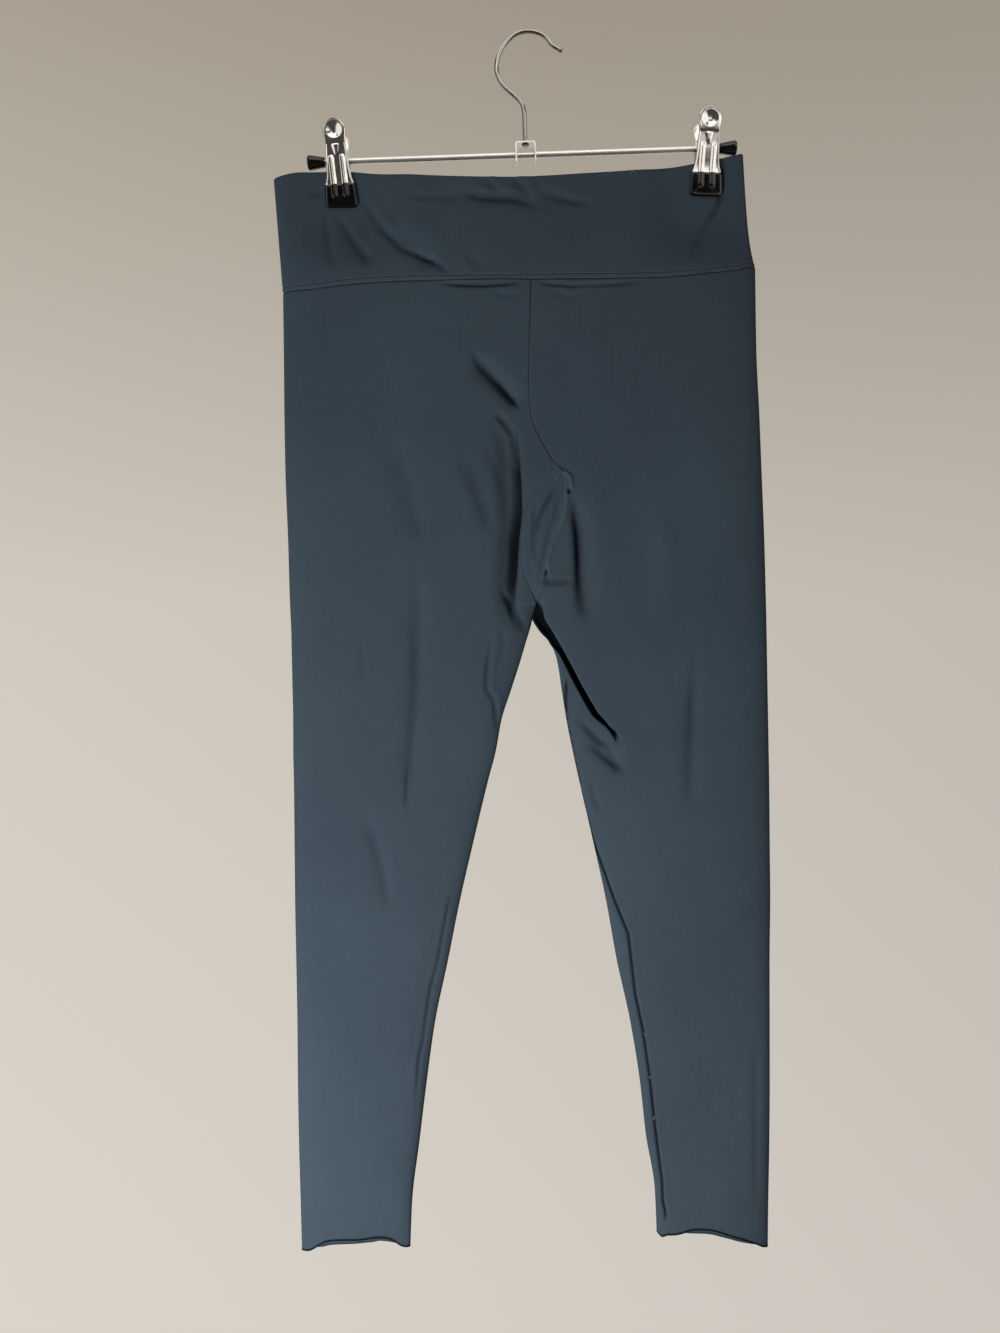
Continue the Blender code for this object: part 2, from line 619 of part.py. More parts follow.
def yoke(paint, cutters):
    """A strap folded over the bar: the hook is riveted through its top, and the bar passes its cheeks."""
    half, corner = YOKE_WIDTH / 2, 2.0 * MM
    top, bottom = BAR_Z + YOKE_TOP, BAR_Z + YOKE_BOTTOM
    right = [(half - corner + x, top - corner + z) for x, z in arc(corner, 90, 0, 5)]
    left = [(-x, z) for x, z in right[::-1]]
    outline = [(-half, bottom), *left, *right, (half, bottom)]
    obj = strip_object("yoke", [(STEM_X + x, z) for x, z in outline], YOKE_DEPTH, STRAP, paint)
    drill(obj, cutters, WIRE + RUNNING_GAP, 6 * STRAP, (STEM_X, 0, top), "Z")
    drill(obj, cutters, BAR_RADIUS + RUNNING_GAP, 2 * YOKE_WIDTH, (STEM_X, 0, BAR_Z), "X")
    return obj


def turned(name, profile, at, paint, facing=1):
    """A lathe-turned piece about the X axis, from a closed run of (distance along X, radius) points."""
    work = bmesh.new()
    verts = [work.verts.new((radius, 0, facing * along)) for along, radius in profile]
    edges = [work.edges.new(pair) for pair in zip(verts, verts[1:] + verts[:1])]
    bmesh.ops.spin(
        work,
        geom=[*verts, *edges],
        cent=(0, 0, 0),
        axis=(0, 0, 1),
        angle=2 * math.pi,
        steps=TURNED_SIDES,
        use_merge=True,
    )
    bmesh.ops.remove_doubles(work, verts=work.verts, dist=1e-7)
    bmesh.ops.rotate(work, verts=work.verts, cent=(0, 0, 0), matrix=Z_TO_X)
    bmesh.ops.translate(work, verts=work.verts, vec=at)
    bmesh.ops.recalc_face_normals(work, faces=work.faces)
    mesh = bpy.data.meshes.new(name)
    work.to_mesh(mesh)
    work.free()
    return smooth_with_paint(bpy.data.objects.new(name, mesh), paint)


def smooth_with_paint(obj, paint, sharp=35):
    """Gives a piece its material and smooth shading, with edges kept crisp past the sharp angle in degrees."""
    obj.data.materials.append(paint)
    obj.data.shade_smooth()
    obj.data.set_sharp_from_angle(angle=math.radians(sharp))
    return obj


def bar(paint):
    return smooth_with_paint(round_bar("bar", BAR_RADIUS, BAR_LENGTH, (BAR_CENTRE_X, 0, BAR_Z), "X"), paint)


def end_cap(name, side, paint):
    """A flared vinyl cap with a blind bore for the bar's end, at the bar's left (-1) or right (+1)."""
    bore = BAR_RADIUS + RUNNING_GAP
    profile = [
        (0, bore),
        (0, CAP_NECK),
        (0.8 * CAP_LENGTH, CAP_RADIUS - 0.3 * MM),
        (0.93 * CAP_LENGTH, CAP_RADIUS),
        (CAP_LENGTH, CAP_RADIUS - 1.2 * MM),
        (CAP_LENGTH, 0),
        (CAP_BORE, 0),
        (CAP_BORE, bore),
    ]
    start = BAR_LENGTH / 2 - CAP_BORE + RUNNING_GAP
    return turned(name, profile, (BAR_CENTRE_X + side * start, 0, BAR_Z), paint, facing=side)


def spring(name, paint):
    """The clip's coil spring on the bar, as a plain sleeve."""
    half = SPRING_LENGTH / 2
    inner = BAR_RADIUS + RUNNING_GAP
    profile = [(-half, inner), (-half, SPRING_RADIUS), (half, SPRING_RADIUS), (half, inner)]
    return turned(name, profile, (0, 0, 0), paint)


def jaw_section(half, flange):
    """One closed section of a pressed jaw, in (x, depth behind its face): a shallow channel of sheet steel."""
    sheet = JAW_SHEET / MM
    bend, inner = min(0.9, 0.3 * half), half - sheet
    outside = [(-half, flange), (-half, 0.5 * bend), (-half + bend, 0.0), (0.0, 0.0)]
    inside = [(0.0, sheet), (-inner + 0.4 * bend, sheet), (-inner, sheet + 0.2), (-inner, flange)]
    mirrored = [(-x, y) for x, y in outside[-2::-1] + inside[:0:-1]]
    return [*outside, *mirrored, *inside]


def jaw(name, facing, paint):
    """A pressed steel jaw: a channel with turned-in sides, splayed at the head and closed at the tip."""
    verts, faces = [], []
    for height, half, stand_off, flange in JAW:
        ring = jaw_section(half, flange)
        verts += [(facing * x * MM, facing * (stand_off - y) * MM, height * MM) for x, y in ring]
    count, last = len(ring), len(JAW) - 1
    for row in range(last):
        for i in range(count):
            j = (i + 1) % count
            faces.append((row * count + i, (row + 1) * count + i, (row + 1) * count + j, row * count + j))
    faces.append(tuple(range(count)))
    faces.append(tuple(last * count + i for i in reversed(range(count))))
    mesh = bpy.data.meshes.new(name)
    mesh.from_pydata(verts, [], faces)
    return smooth_with_paint(bpy.data.objects.new(name, mesh), paint, sharp=50)


def tip(name, facing, paint):
    """The vinyl-dipped end of a jaw: a rounded block that presses on the cloth."""
    data = bpy.data.curves.new(name, "CURVE")
    data.dimensions = "2D"
    data.fill_mode = "BOTH"
    data.extrude = TIP_THICKNESS / 2
    spline = data.splines.new("POLY")
    top, bottom, corner = TIP_TOP, TIP_BOTTOM, TIP_CORNER
    low = [(TIP_WIDTH_BOTTOM / 2 - corner + x, bottom + corner + z) for x, z in arc(corner, 0, -90, 5)]
    right = [(TIP_WIDTH_TOP / 2, top), *low]
    outline = [*right, *((-x, z) for x, z in right[::-1])]
    spline.points.add(len(outline) - 1)
    for point, (x, z) in zip(spline.points, outline):
        point.co = (x, z, 0, 1)
    spline.use_cyclic_u = True
    data.materials.append(paint)
    obj = bpy.data.objects.new(name, data)
    obj.rotation_euler = (math.radians(90), 0, 0)
    obj.location = (0, facing * (PINCH_DEPTH * MM + SEAM_GAP + TIP_THICKNESS / 2), 0)
    return obj


def clip(name, at, lean, hanger, parts, steel, vinyl):
    """One clip on the bar: two jaws, two dipped tips and the spring, hung at its own lean."""
    pivot = bpy.data.objects.new(f"clip_{name}", None)
    pivot.parent = hanger
    pivot.location = (at, 0, BAR_Z)
    pivot.rotation_euler = (0, lean, 0)
    parts.objects.link(pivot)
    pieces = [spring(f"clip_{name}_spring", steel)]
    pieces[0].rotation_euler = (0, -lean, 0)
    for side, facing in (("front", -1), ("back", 1)):
        pieces.append(jaw(f"clip_{name}_jaw_{side}", facing, steel))
        pieces.append(tip(f"clip_{name}_tip_{side}", facing, vinyl))
    for piece in pieces:
        piece.parent = pivot
        parts.objects.link(piece)


def main():
    clear_scene()
    parts = bpy.data.collections.new("leggings_on_clip_hanger")
    cutters = bpy.data.collections.new("cutters")
    for collection in (parts, cutters):
        bpy.context.scene.collection.children.link(collection)
    knit = material("knit_blue", KNIT_BLUE, 0.9)
    steel = material("bright_steel", STEEL, 0.2, 1.0)
    vinyl = material("black_vinyl", VINYL, 0.3)
    for piece in (waistband(knit), leg_panel(-1, knit), leg_panel(1, knit), gusset(knit)):
        parts.objects.link(piece)
    hanger = bpy.data.objects.new("hanger", None)
    hanger.rotation_euler = (0, HANGER_TILT, 0)
    parts.objects.link(hanger)
    for piece in (
        hook(steel),
        yoke(steel, cutters),
        bar(steel),
        end_cap("end_cap_left", -1, vinyl),
        end_cap("end_cap_right", 1, vinyl),
    ):
        piece.parent = hanger
        parts.objects.link(piece)
    for tool in cutters.objects:
        tool.parent = hanger
    for name, at, lean in zip(("left", "right"), CLIP_X, CLIP_LEANS):
        clip(name, at, lean, hanger, parts, steel, vinyl)


main()
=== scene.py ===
# %% [markdown]
# # Leggings on a clip hanger
#
# A pair of slim knit leggings hangs by its waistband from a sprung clip hanger. The CAD model already
# fixes every size and place. This lesson dresses it: it makes the cloth again as fine sheets with their
# creases and sewing, gives the hanger its coils and pressed ribs, and paints everything with nodes.

# %% Load the frame
import json
import math
from types import SimpleNamespace

import bmesh
import bpy
import numpy as np
from mathutils import Matrix

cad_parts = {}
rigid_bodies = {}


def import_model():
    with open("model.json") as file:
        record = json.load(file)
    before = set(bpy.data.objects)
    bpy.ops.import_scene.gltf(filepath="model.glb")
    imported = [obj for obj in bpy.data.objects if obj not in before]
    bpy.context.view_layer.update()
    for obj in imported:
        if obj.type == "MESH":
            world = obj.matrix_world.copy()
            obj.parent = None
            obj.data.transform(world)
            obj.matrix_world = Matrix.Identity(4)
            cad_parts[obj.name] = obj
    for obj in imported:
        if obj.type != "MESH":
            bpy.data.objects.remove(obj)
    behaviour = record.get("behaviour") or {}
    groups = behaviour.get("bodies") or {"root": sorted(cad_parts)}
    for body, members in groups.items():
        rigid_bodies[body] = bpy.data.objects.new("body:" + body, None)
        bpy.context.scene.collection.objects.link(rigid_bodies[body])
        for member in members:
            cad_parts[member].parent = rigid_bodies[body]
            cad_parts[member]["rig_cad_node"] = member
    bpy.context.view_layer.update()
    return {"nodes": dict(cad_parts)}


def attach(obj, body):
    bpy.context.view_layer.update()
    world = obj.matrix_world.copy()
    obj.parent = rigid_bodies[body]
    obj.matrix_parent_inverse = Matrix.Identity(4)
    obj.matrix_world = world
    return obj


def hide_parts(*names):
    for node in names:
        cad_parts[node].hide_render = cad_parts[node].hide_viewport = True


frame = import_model()
MM = 0.001

# %% [markdown]
# ## Helpers for tables and smooth curves
#
# The garment was measured as a few levels, so its form is kept as short tables. A curve through a table
# could be a spline object. A cubic worked out with numpy is easier to reuse, because one call reads a
# whole grid of places at once, and slopes taken as harmonic means never overshoot a measured size.

# %% Tables and smooth curves


def smooth_through(x, knots, values):
    """A cubic between each pair of knots, whose slope at a knot is the harmonic mean of its neighbours'."""
    x = np.clip(np.asarray(x, float), knots[0], knots[-1])
    step = np.diff(knots)
    slope = np.diff(values) / step
    before, after = slope[:-1], slope[1:]
    harmonic = 2 * before * after / (before + after + 1e-30)
    tangent = np.concatenate([slope[:1], np.where(before * after > 0, harmonic, 0.0), slope[-1:]])
    i = np.clip(np.searchsorted(knots, x, side="right") - 1, 0, len(step) - 1)
    t = (x - knots[i]) / step[i]
    return (
        values[i] * (1 + 2 * t) * (1 - t) ** 2
        + tangent[i] * step[i] * t * (1 - t) ** 2
        + values[i + 1] * t**2 * (3 - 2 * t)
        + tangent[i + 1] * step[i] * t**2 * (t - 1)
    )


def from_table(table, names, wanted, at):
    """A named column of a table, read smoothly at places along its first column."""
    values = np.array(table, float)
    return smooth_through(at, values[:, 0], values[:, names.index(wanted)])


def ease(x, low, high):
    """0 below low and 1 above high, with the smooth rise 3t² - 2t³ between them."""
    t = np.clip((np.asarray(x, float) - low) / (high - low), 0, 1)
    return t * t * (3 - 2 * t)


def soft_ends(share, risen, falling):
    """0 at both ends of a line, and 1 between two shares of the way along it."""
    return ease(share, 0.0, risen) * (1 - ease(share, falling, 1.0))


def bell(t):
    """e^-t²: 1 in the middle, 0.37 at one width from it and 0.02 at two."""
    return np.exp(-(t**2))


def unit(vectors):
    """Vectors scaled to a length of 1."""
    return vectors / np.maximum(np.linalg.norm(vectors, axis=-1, keepdims=True), 1e-12)


def along_line(x, drop, line):
    """For each point: its distance from a run of points, positive to the right, and its share along it."""
    x, drop = np.broadcast_arrays(x, drop)
    points = np.array(line, float)
    lengths = np.hypot(*np.diff(points, axis=0).T)
    starts = np.concatenate([[0.0], np.cumsum(lengths)])
    best = np.full(x.shape, np.inf)
    signed, share = np.zeros(x.shape), np.zeros(x.shape)
    for (ax, ad), (bx, bd), start, length in zip(points[:-1], points[1:], starts, lengths):
        ux, ud = (bx - ax) / length, (bd - ad) / length
        t = np.clip((x - ax) * ux + (drop - ad) * ud, 0, length)
        away = np.hypot(x - ax - t * ux, drop - ad - t * ud)
        side = np.sign((x - ax) * ud - (drop - ad) * ux)
        nearer = away < best
        best = np.where(nearer, away, best)
        signed = np.where(nearer, away * side, signed)
        share = np.where(nearer, (start + t) / starts[-1], share)
    return signed, share


print("ease at a quarter:", float(ease(0.25, 0, 1)))

# %% [markdown]
# ## Helpers for surfaces
#
# Every new piece is a grid of points: rows one way, columns the other, and a formula for each point. The
# mesh could be grown face by face with bmesh, but one array of indices gives every face at once. Faces
# wind so that they look outwards, and grids that close on themselves have their doubled points merged.

# %% Grids into meshes
MERGE_DISTANCE = 2e-6


def normals_of(points, closed_rows):
    """Unit normals of a grid: the step down crossed with the step across, wrapping where a row is closed."""
    before = np.where(closed_rows, points[:, -2:-1], 2 * points[:, :1] - points[:, 1:2])
    after = np.where(closed_rows, points[:, 1:2], 2 * points[:, -1:] - points[:, -2:-1])
    wide = np.concatenate([before, points, after], axis=1)
    return unit(np.cross(np.gradient(points, axis=0), wide[:, 2:] - wide[:, :-2]))


def run_length(points, axis):
    """The length run along each row (axis 1) or column (axis 0) of a grid, from its first point."""
    steps = np.linalg.norm(np.diff(points, axis=axis), axis=-1)
    start = np.zeros_like(np.take(steps, [0], axis=axis))
    return np.concatenate([start, np.cumsum(steps, axis=axis)], axis=axis)


def mesh_of(name, grids):
    """A mesh from grids of points in millimetres, with UVs in metres of running length.

    A face's corners are (row, column), (row + 1, column), (row + 1, column + 1) and (row, column + 1)."""
    near, far = slice(None, -1), slice(1, None)
    corners = ((near, near), (far, near), (far, far), (near, far))
    verts, faces, uvs, count = [], [], [], 0
    for points in grids:
        index = count + np.arange(points[..., 0].size).reshape(points.shape[:2])
        flat = np.stack([run_length(points, 1), -run_length(points, 0)], axis=-1) * MM
        faces.append(np.stack([index[c] for c in corners], axis=-1).reshape(-1, 4))
        uvs.append(np.stack([flat[c] for c in corners], axis=2).reshape(-1, 2))
        verts.append(points.reshape(-1, 3) * MM)
        count += index.size
    mesh = bpy.data.meshes.new(name)
    mesh.from_pydata(np.concatenate(verts).tolist(), [], np.concatenate(faces).tolist())
    mesh.uv_layers.new(name="cloth_run").data.foreach_set("uv", np.concatenate(uvs).ravel())
    return mesh


def piece_of(name, grids, paint, wall=0.0, shade=None, smooth_angle=None):
    """One mesh object from grids, with doubled points merged and a painted shade for each point where
    one is given.

    A wall lays cloth or sheet metal of that thickness behind the faces, as Solidify does."""
    mesh = mesh_of(name, grids)
    if shade is not None:
        mesh.attributes.new("shade", "FLOAT", "POINT").data.foreach_set("value", shade.ravel())
    work = bmesh.new()
    work.from_mesh(mesh)
    bmesh.ops.remove_doubles(work, verts=work.verts, dist=MERGE_DISTANCE)
    work.to_mesh(mesh)
    work.free()
    mesh.materials.append(paint)
    mesh.shade_smooth()
    if smooth_angle:
        mesh.set_sharp_from_angle(angle=math.radians(smooth_angle))
    obj = bpy.data.objects.new(name, mesh)
    bpy.context.scene.collection.objects.link(obj)
    if wall:
        shell = obj.modifiers.new("wall", "SOLIDIFY")
        shell.thickness, shell.offset, shell.use_even_offset = wall * MM, -1.0, True
    print(f"{name}: {len(mesh.polygons)} faces")
    return obj


flat_grid = np.stack([*np.meshgrid([0.0, 1.0, 2.0], [0.0, -1.0, -2.0]), np.zeros((3, 3))], axis=-1)
print("normal of a flat grid:", normals_of(flat_grid, False)[0, 0].tolist())

# %% [markdown]
# ## A helper for materials
#
# A finish is a small tree of nodes round a Principled shader. Colours are picked as sRGB hex values, so
# one function turns them linear, and one function adds any node with its settings and links. Sockets
# without a name of their own go by number: in a Map Range, 1 and 2 are the range read and 3 and 4 the
# range given, and in a Math node 0, 1 and 2 are its terms.

# %% Nodes and colours


def linear(hex_colour):
    """The linear RGBA of an sRGB hex colour."""
    srgb = np.array([int(hex_colour[i : i + 2], 16) for i in (1, 3, 5)]) / 255
    return (*np.where(srgb <= 0.04045, srgb / 12.92, ((srgb + 0.055) / 1.055) ** 2.4).tolist(), 1.0)


def add(tree, kind, sockets=None, links=None, **settings):
    """Adds a node, with its settings, the values of its sockets and the outputs that feed them."""
    made = tree.nodes.new("ShaderNode" + kind)
    for name, value in settings.items():
        setattr(made, name, value)
    for name, value in (sockets or {}).items():
        made.inputs[name].default_value = value
    for name, output in (links or {}).items():
        tree.links.new(output, made.inputs[name])
    return made


def finish_named(name, **sockets):
    """A new material with its Principled shader's sockets set: returns the material, tree and shader."""
    made = bpy.data.materials.new(name)
    made.use_nodes = True
    shader = made.node_tree.nodes["Principled BSDF"]
    for socket, value in sockets.items():
        shader.inputs[socket.replace("_", " ")].default_value = value
    return made, made.node_tree, shader


print("middle grey is linear", np.round(linear("#808080"), 3).tolist())

# %% [markdown]
# ## Brushed jersey
#
# The cloth is a polyester and elastane jersey, knitted in fine ribs called wales and brushed a little, so
# it is matt with a faint soft sheen. A picture of cloth would repeat, so noise does the work: yarns
# that took the dye unevenly, long soft streaks down the wales and a slow change of tone over the garment.
# The wales of such jersey are 0.7 mm apart. They are drawn 1.5 mm apart, or they would not show at all.

# %% The jersey's material
WALE = 0.0015
WAVE_PERIOD = math.pi / 10  # a band wave of scale 1 repeats every 0.314 m
STREAK_WIDTH, STREAK_LENGTH = 0.0022, 0.016
YARN_GRAINS, DYE_DRIFTS = 780.0, 7.0  # in a metre: grains of 1.3 mm, and slow drifts of 140 mm
PILE_HEIGHT = 0.00022
# The painted shade's range: -0.4 is a painted highlight, 1 the painted shade at the bottom of a dark gap.
SHADE_RANGE = (-0.4, 1.0)  # from cloth that catches the light to the bottom of a dark gap


def brushed_jersey():
    """Drifting dye times streaked grain times the mesh's painted shade gives the colour. The painted shade
    darkens creases and gaps, lightens ridges as a painted highlight and takes the gloss out of the creases,
    and the wales and the pile raise the surface."""
    sheen = {"Sheen_Roughness": 0.45, "Sheen_Tint": linear("#9fb0ba")}
    made, tree, shader = finish_named("brushed_jersey", Roughness=0.88, **sheen)
    place = add(tree, "TexCoord").outputs["Object"]
    run = add(tree, "UVMap", uv_map="cloth_run").outputs["UV"]
    stretched = add(tree, "Mapping", {"Scale": (1 / STREAK_WIDTH, 1 / STREAK_LENGTH, 1)}, {"Vector": run})
    streaks = add(tree, "TexNoise", {"Scale": 1.0, "Detail": 3.0}, {"Vector": stretched.outputs[0]})
    yarn = add(tree, "TexNoise", {"Scale": YARN_GRAINS, "Detail": 2.0}, {"Vector": place}).outputs["Fac"]
    slow = add(tree, "TexNoise", {"Scale": DYE_DRIFTS, "Detail": 2.0}, {"Vector": place})
    blue = add(tree, "ValToRGB", links={"Fac": slow.outputs["Fac"]})
    dark, light = blue.color_ramp.elements
    dark.position, light.position = 0.3, 0.7
    dark.color, light.color = linear("#394653"), linear("#3d4b58")
    mixed = add(tree, "Math", {1: 0.6}, {0: streaks.outputs["Fac"]}, operation="MULTIPLY")
    grain = add(tree, "Math", {1: 0.4}, {0: yarn, 2: mixed.outputs[0]}, operation="MULTIPLY_ADD")
    tone = add(tree, "MapRange", {1: 0.3, 2: 0.7, 3: 0.93, 4: 1.07}, {0: grain.outputs[0]})
    painted_shade = add(tree, "Attribute", attribute_name="shade").outputs["Fac"]
    lit = add(tree, "MapRange", {1: SHADE_RANGE[0], 2: SHADE_RANGE[1], 3: 1.35, 4: 0.12}, {0: painted_shade})
    both = add(tree, "Math", links={0: tone.outputs[0], 1: lit.outputs[0]}, operation="MULTIPLY")
    dye_with_painted_shade = add(tree, "VectorMath", links={0: blue.outputs[0], "Scale": both.outputs[0]}, operation="SCALE")
    tree.links.new(dye_with_painted_shade.outputs[0], shader.inputs["Base Color"])
    # Painted shade: less gloss and sheen where the painted shade is darkest.
    for socket, most in (("Specular IOR Level", 0.10), ("Sheen Weight", 0.05)):
        gloss = add(tree, "MapRange", {1: 0.0, 2: 0.8, 3: most, 4: 0.0}, {0: painted_shade})
        tree.links.new(gloss.outputs[0], shader.inputs[socket])
    wales = add(tree, "TexWave", {"Scale": WAVE_PERIOD / WALE, "Distortion": 0.6}, {"Vector": run})
    soft_wales = add(tree, "Math", {1: 0.4}, {0: wales.outputs["Fac"]}, operation="MULTIPLY")
    pile = add(tree, "Math", {1: 1.6}, {0: yarn, 2: soft_wales.outputs[0]}, operation="MULTIPLY_ADD")
    bump = add(tree, "Bump", {"Strength": 0.45, "Distance": PILE_HEIGHT}, {"Height": pile.outputs[0]})
    tree.links.new(bump.outputs[0], shader.inputs["Normal"])
    return made


jersey = brushed_jersey()
print("jersey nodes:", len(jersey.node_tree.nodes))

# %% [markdown]
# ## Sewing thread
#
# Polyester thread is two twisted plies with a low gloss. Fine slanted bands stand for the twist.

# %% The thread's material
TWIST = 0.0006


def spun_thread():
    """Slanted bands of two blues, one for each ply."""
    made, tree, shader = finish_named("spun_thread", Roughness=0.6)
    place = add(tree, "TexCoord")
    plies = add(tree, "TexWave", {"Scale": WAVE_PERIOD / TWIST}, {"Vector": place.outputs["Object"]})
    plies.bands_direction = "DIAGONAL"
    blue = add(tree, "ValToRGB", links={"Fac": plies.outputs["Fac"]})
    dark, light = blue.color_ramp.elements
    dark.color, light.color = linear("#4a5965"), linear("#6d7f8b")
    tree.links.new(blue.outputs[0], shader.inputs["Base Color"])
    return made


thread = spun_thread()
print("thread nodes:", len(thread.node_tree.nodes))

# %% [markdown]
# ## Chromed steel
#
# The hanger is mild steel, pressed or bent, polished and chrome plated. It mirrors the room, so its
# look comes from a low roughness and from tiny unevenness left by the polishing, with a few dull
# handling marks. One function makes three grades of it: the bright pressed parts, the drawn wire, which
# mirrors a little less, and the bar, which is only brushed. A metal keeps the shader's own IOR.

# %% The chrome's material
MARKS, POLISH_WAVES = 260.0, 90.0  # in a metre: handling marks of 4 mm, and waves of 11 mm in the polish
POLISH_DEPTH = 0.0004


def plated_steel(name, smoothest, dullest, tones):
    """Plated steel, from its roughness where it is clean and where it is marked, and from its two tones."""
    made, tree, shader = finish_named(name, Metallic=1.0)
    place = add(tree, "TexCoord").outputs["Object"]
    marks = add(tree, "TexNoise", {"Scale": MARKS, "Detail": 4.0}, {"Vector": place})
    waves = add(tree, "TexNoise", {"Scale": POLISH_WAVES, "Detail": 1.0}, {"Vector": place})
    tint = add(tree, "ValToRGB", links={"Fac": marks.outputs["Fac"]})
    dark, light = tint.color_ramp.elements
    dark.color, light.color = map(linear, tones)
    tree.links.new(tint.outputs[0], shader.inputs["Base Color"])
    dull = add(tree, "MapRange", {1: 0.45, 2: 0.75, 3: smoothest, 4: dullest}, {0: marks.outputs["Fac"]})
    tree.links.new(dull.outputs[0], shader.inputs["Roughness"])
    bump = add(tree, "Bump", {"Strength": 0.03, "Distance": POLISH_DEPTH}, {"Height": waves.outputs["Fac"]})
    tree.links.new(bump.outputs[0], shader.inputs["Normal"])
    return made


chrome = plated_steel("chromed_steel", 0.14, 0.2, ("#c8c5c2", "#e8e6e4"))
bright_wire = plated_steel("chromed_wire", 0.12, 0.16, ("#9a9692", "#aeaaa6"))
satin = plated_steel("satin_plated_steel", 0.44, 0.5, ("#f2f0ee", "#fcfbfa"))
print("chrome nodes:", len(chrome.node_tree.nodes))

# %% [markdown]
# ## Dipped vinyl
#
# The jaws' ends are dipped in liquid PVC, which cures to a black, glossy, slightly rippled skin.

# %% The vinyl's material
RIPPLES, DUST = 160.0, 1400.0  # in a metre: ripples of 6 mm, and dust of 0.7 mm
RIPPLE_DEPTH = 0.0005


def dipped_vinyl():
    """Ripples change the gloss and raise the skin, and dust lightens the black in places."""
    made, tree, shader = finish_named("dipped_vinyl", IOR=1.42, Coat_Weight=0.2, Coat_Roughness=0.08)
    place = add(tree, "TexCoord").outputs["Object"]
    ripple = add(tree, "TexNoise", {"Scale": RIPPLES, "Detail": 2.0}, {"Vector": place}).outputs["Fac"]
    dust = add(tree, "TexNoise", {"Scale": DUST, "Detail": 3.0}, {"Vector": place})
    black = add(tree, "ValToRGB", links={"Fac": dust.outputs["Fac"]})
    clean, dusty = black.color_ramp.elements
    clean.position, dusty.position = 0.5, 0.85
    clean.color, dusty.color = linear("#050606"), linear("#111213")
    tree.links.new(black.outputs[0], shader.inputs["Base Color"])
    dull = add(tree, "MapRange", {1: 0.35, 2: 0.7, 3: 0.07, 4: 0.17}, {0: ripple})
    tree.links.new(dull.outputs[0], shader.inputs["Roughness"])
    bump = add(tree, "Bump", {"Strength": 0.3, "Distance": RIPPLE_DEPTH}, {"Height": ripple})
    tree.links.new(bump.outputs[0], shader.inputs["Normal"])
    return made


vinyl = dipped_vinyl()
print("vinyl nodes:", len(vinyl.node_tree.nodes))

# %% [markdown]
# ## The garment's sizes
#
# Every level of the garment is a flat, round-ended tube. One table gives the edges, the depth and the
# sway of both legs, one gives the centre seam and the two seams of the gusset, and one the waistband.
# All sizes are in millimetres, and heights are drops below the crown of the hook.

# %% Levels and the legs' table
FORK_DROP, APEX_DROP = 471.6, 366.5
CLOSED_DROP = FORK_DROP + 4.0
SEAM_LEVEL, HEM_LEVEL = 208.0, 1008.0
EDGE_ROUNDING = 0.125
FORK_OPENING, HIP_OPENING = 0.2, 6.0

# Where the outer and inner edges of both legs lie, half the depth of the tube from front to back, and
# how far the middle of each leg swings forward (-) or back (+).
SECTION_COLUMNS = "drop left_outer left_inner right_inner right_outer depth left_sway right_sway".split()
SECTIONS = (
    (194, -203.5, 0.0, 0.0, 188.5, 10.5, 0.0, 0.0),
    (270, -202.5, 0.0, 0.0, 189.5, 11.5, -0.5, -0.5),
    (320, -202.0, 0.0, 0.0, 192.0, 12.0, -0.8, -0.8),
    (370, -201.0, 0.0, 0.0, 194.0, 12.5, -1.0, -1.0),
    (420, -199.0, 0.0, 0.0, 196.0, 12.5, -0.8, -0.9),
    (473, -197.5, 7.0, 6.9, 197.5, 12.5, -0.4, -0.6),
    (484, -197.0, 4.3, 4.1, 197.8, 12.5, -0.3, -0.5),
    (495, -196.5, 1.5, 9.8, 198.0, 12.5, -0.2, -0.4),
    (504, -196.3, -1.3, 17.6, 198.2, 12.4, -0.1, -0.3),
    (520, -196.0, -6.0, 24.0, 198.5, 12.3, 0.0, -0.2),
    (545, -195.5, -14.0, 28.0, 199.0, 12.0, 0.2, 0.0),
    (570, -195.0, -22.0, 32.0, 199.5, 11.8, 0.4, 0.2),
    (595, -195.0, -26.5, 37.0, 200.0, 11.5, 0.6, 0.4),
    (620, -194.5, -33.0, 42.5, 200.5, 11.2, 0.8, 0.6),
    (670, -194.0, -45.0, 54.0, 201.0, 10.8, 1.0, 0.9),
    (720, -193.5, -56.5, 65.0, 201.5, 10.4, 1.0, 1.2),
    (770, -192.5, -66.5, 74.0, 201.0, 10.0, 0.8, 1.3),
    (820, -191.5, -77.0, 85.0, 201.0, 9.6, 0.5, 1.1),
    (870, -191.0, -84.0, 93.0, 201.0, 9.2, 0.1, 0.8),
    (920, -190.0, -90.0, 98.0, 200.5, 9.0, -0.3, 0.4),
    (970, -188.5, -96.0, 105.2, 199.5, 9.0, -0.6, 0.0),
    (1008, -187.5, -97.5, 106.8, 199.0, 9.0, -0.8, -0.3),
)
print("levels of the legs:", len(SECTIONS))

# %% The centre seam's table
# It parts at the apex of the gusset into the gusset's two seams, which meet again at the fork.
CENTRE_COLUMNS = ("drop", "left_edge", "right_edge")
CENTRE = (
    (194, 2.5, 2.5),
    (250, 1.2, 1.2),
    (294, 0.6, 0.6),
    (318, 1.9, 1.9),
    (330.5, 5.8, 5.8),
    (343.5, 12.2, 12.2),
    (355.5, 18.9, 18.9),
    (366.5, 28.0, 29.0),
    (371.5, 23.4, 31.6),
    (376.5, 16.4, 32.2),
    (381.5, 9.0, 31.9),
    (392, 0.0, 31.0),
    (404, -4.4, 28.4),
    (417, -6.5, 23.8),
    (434, -6.5, 18.2),
    (453, -2.0, 13.2),
    (471.6, 6.8, 7.1),
)
print("levels of the centre seam:", len(CENTRE))

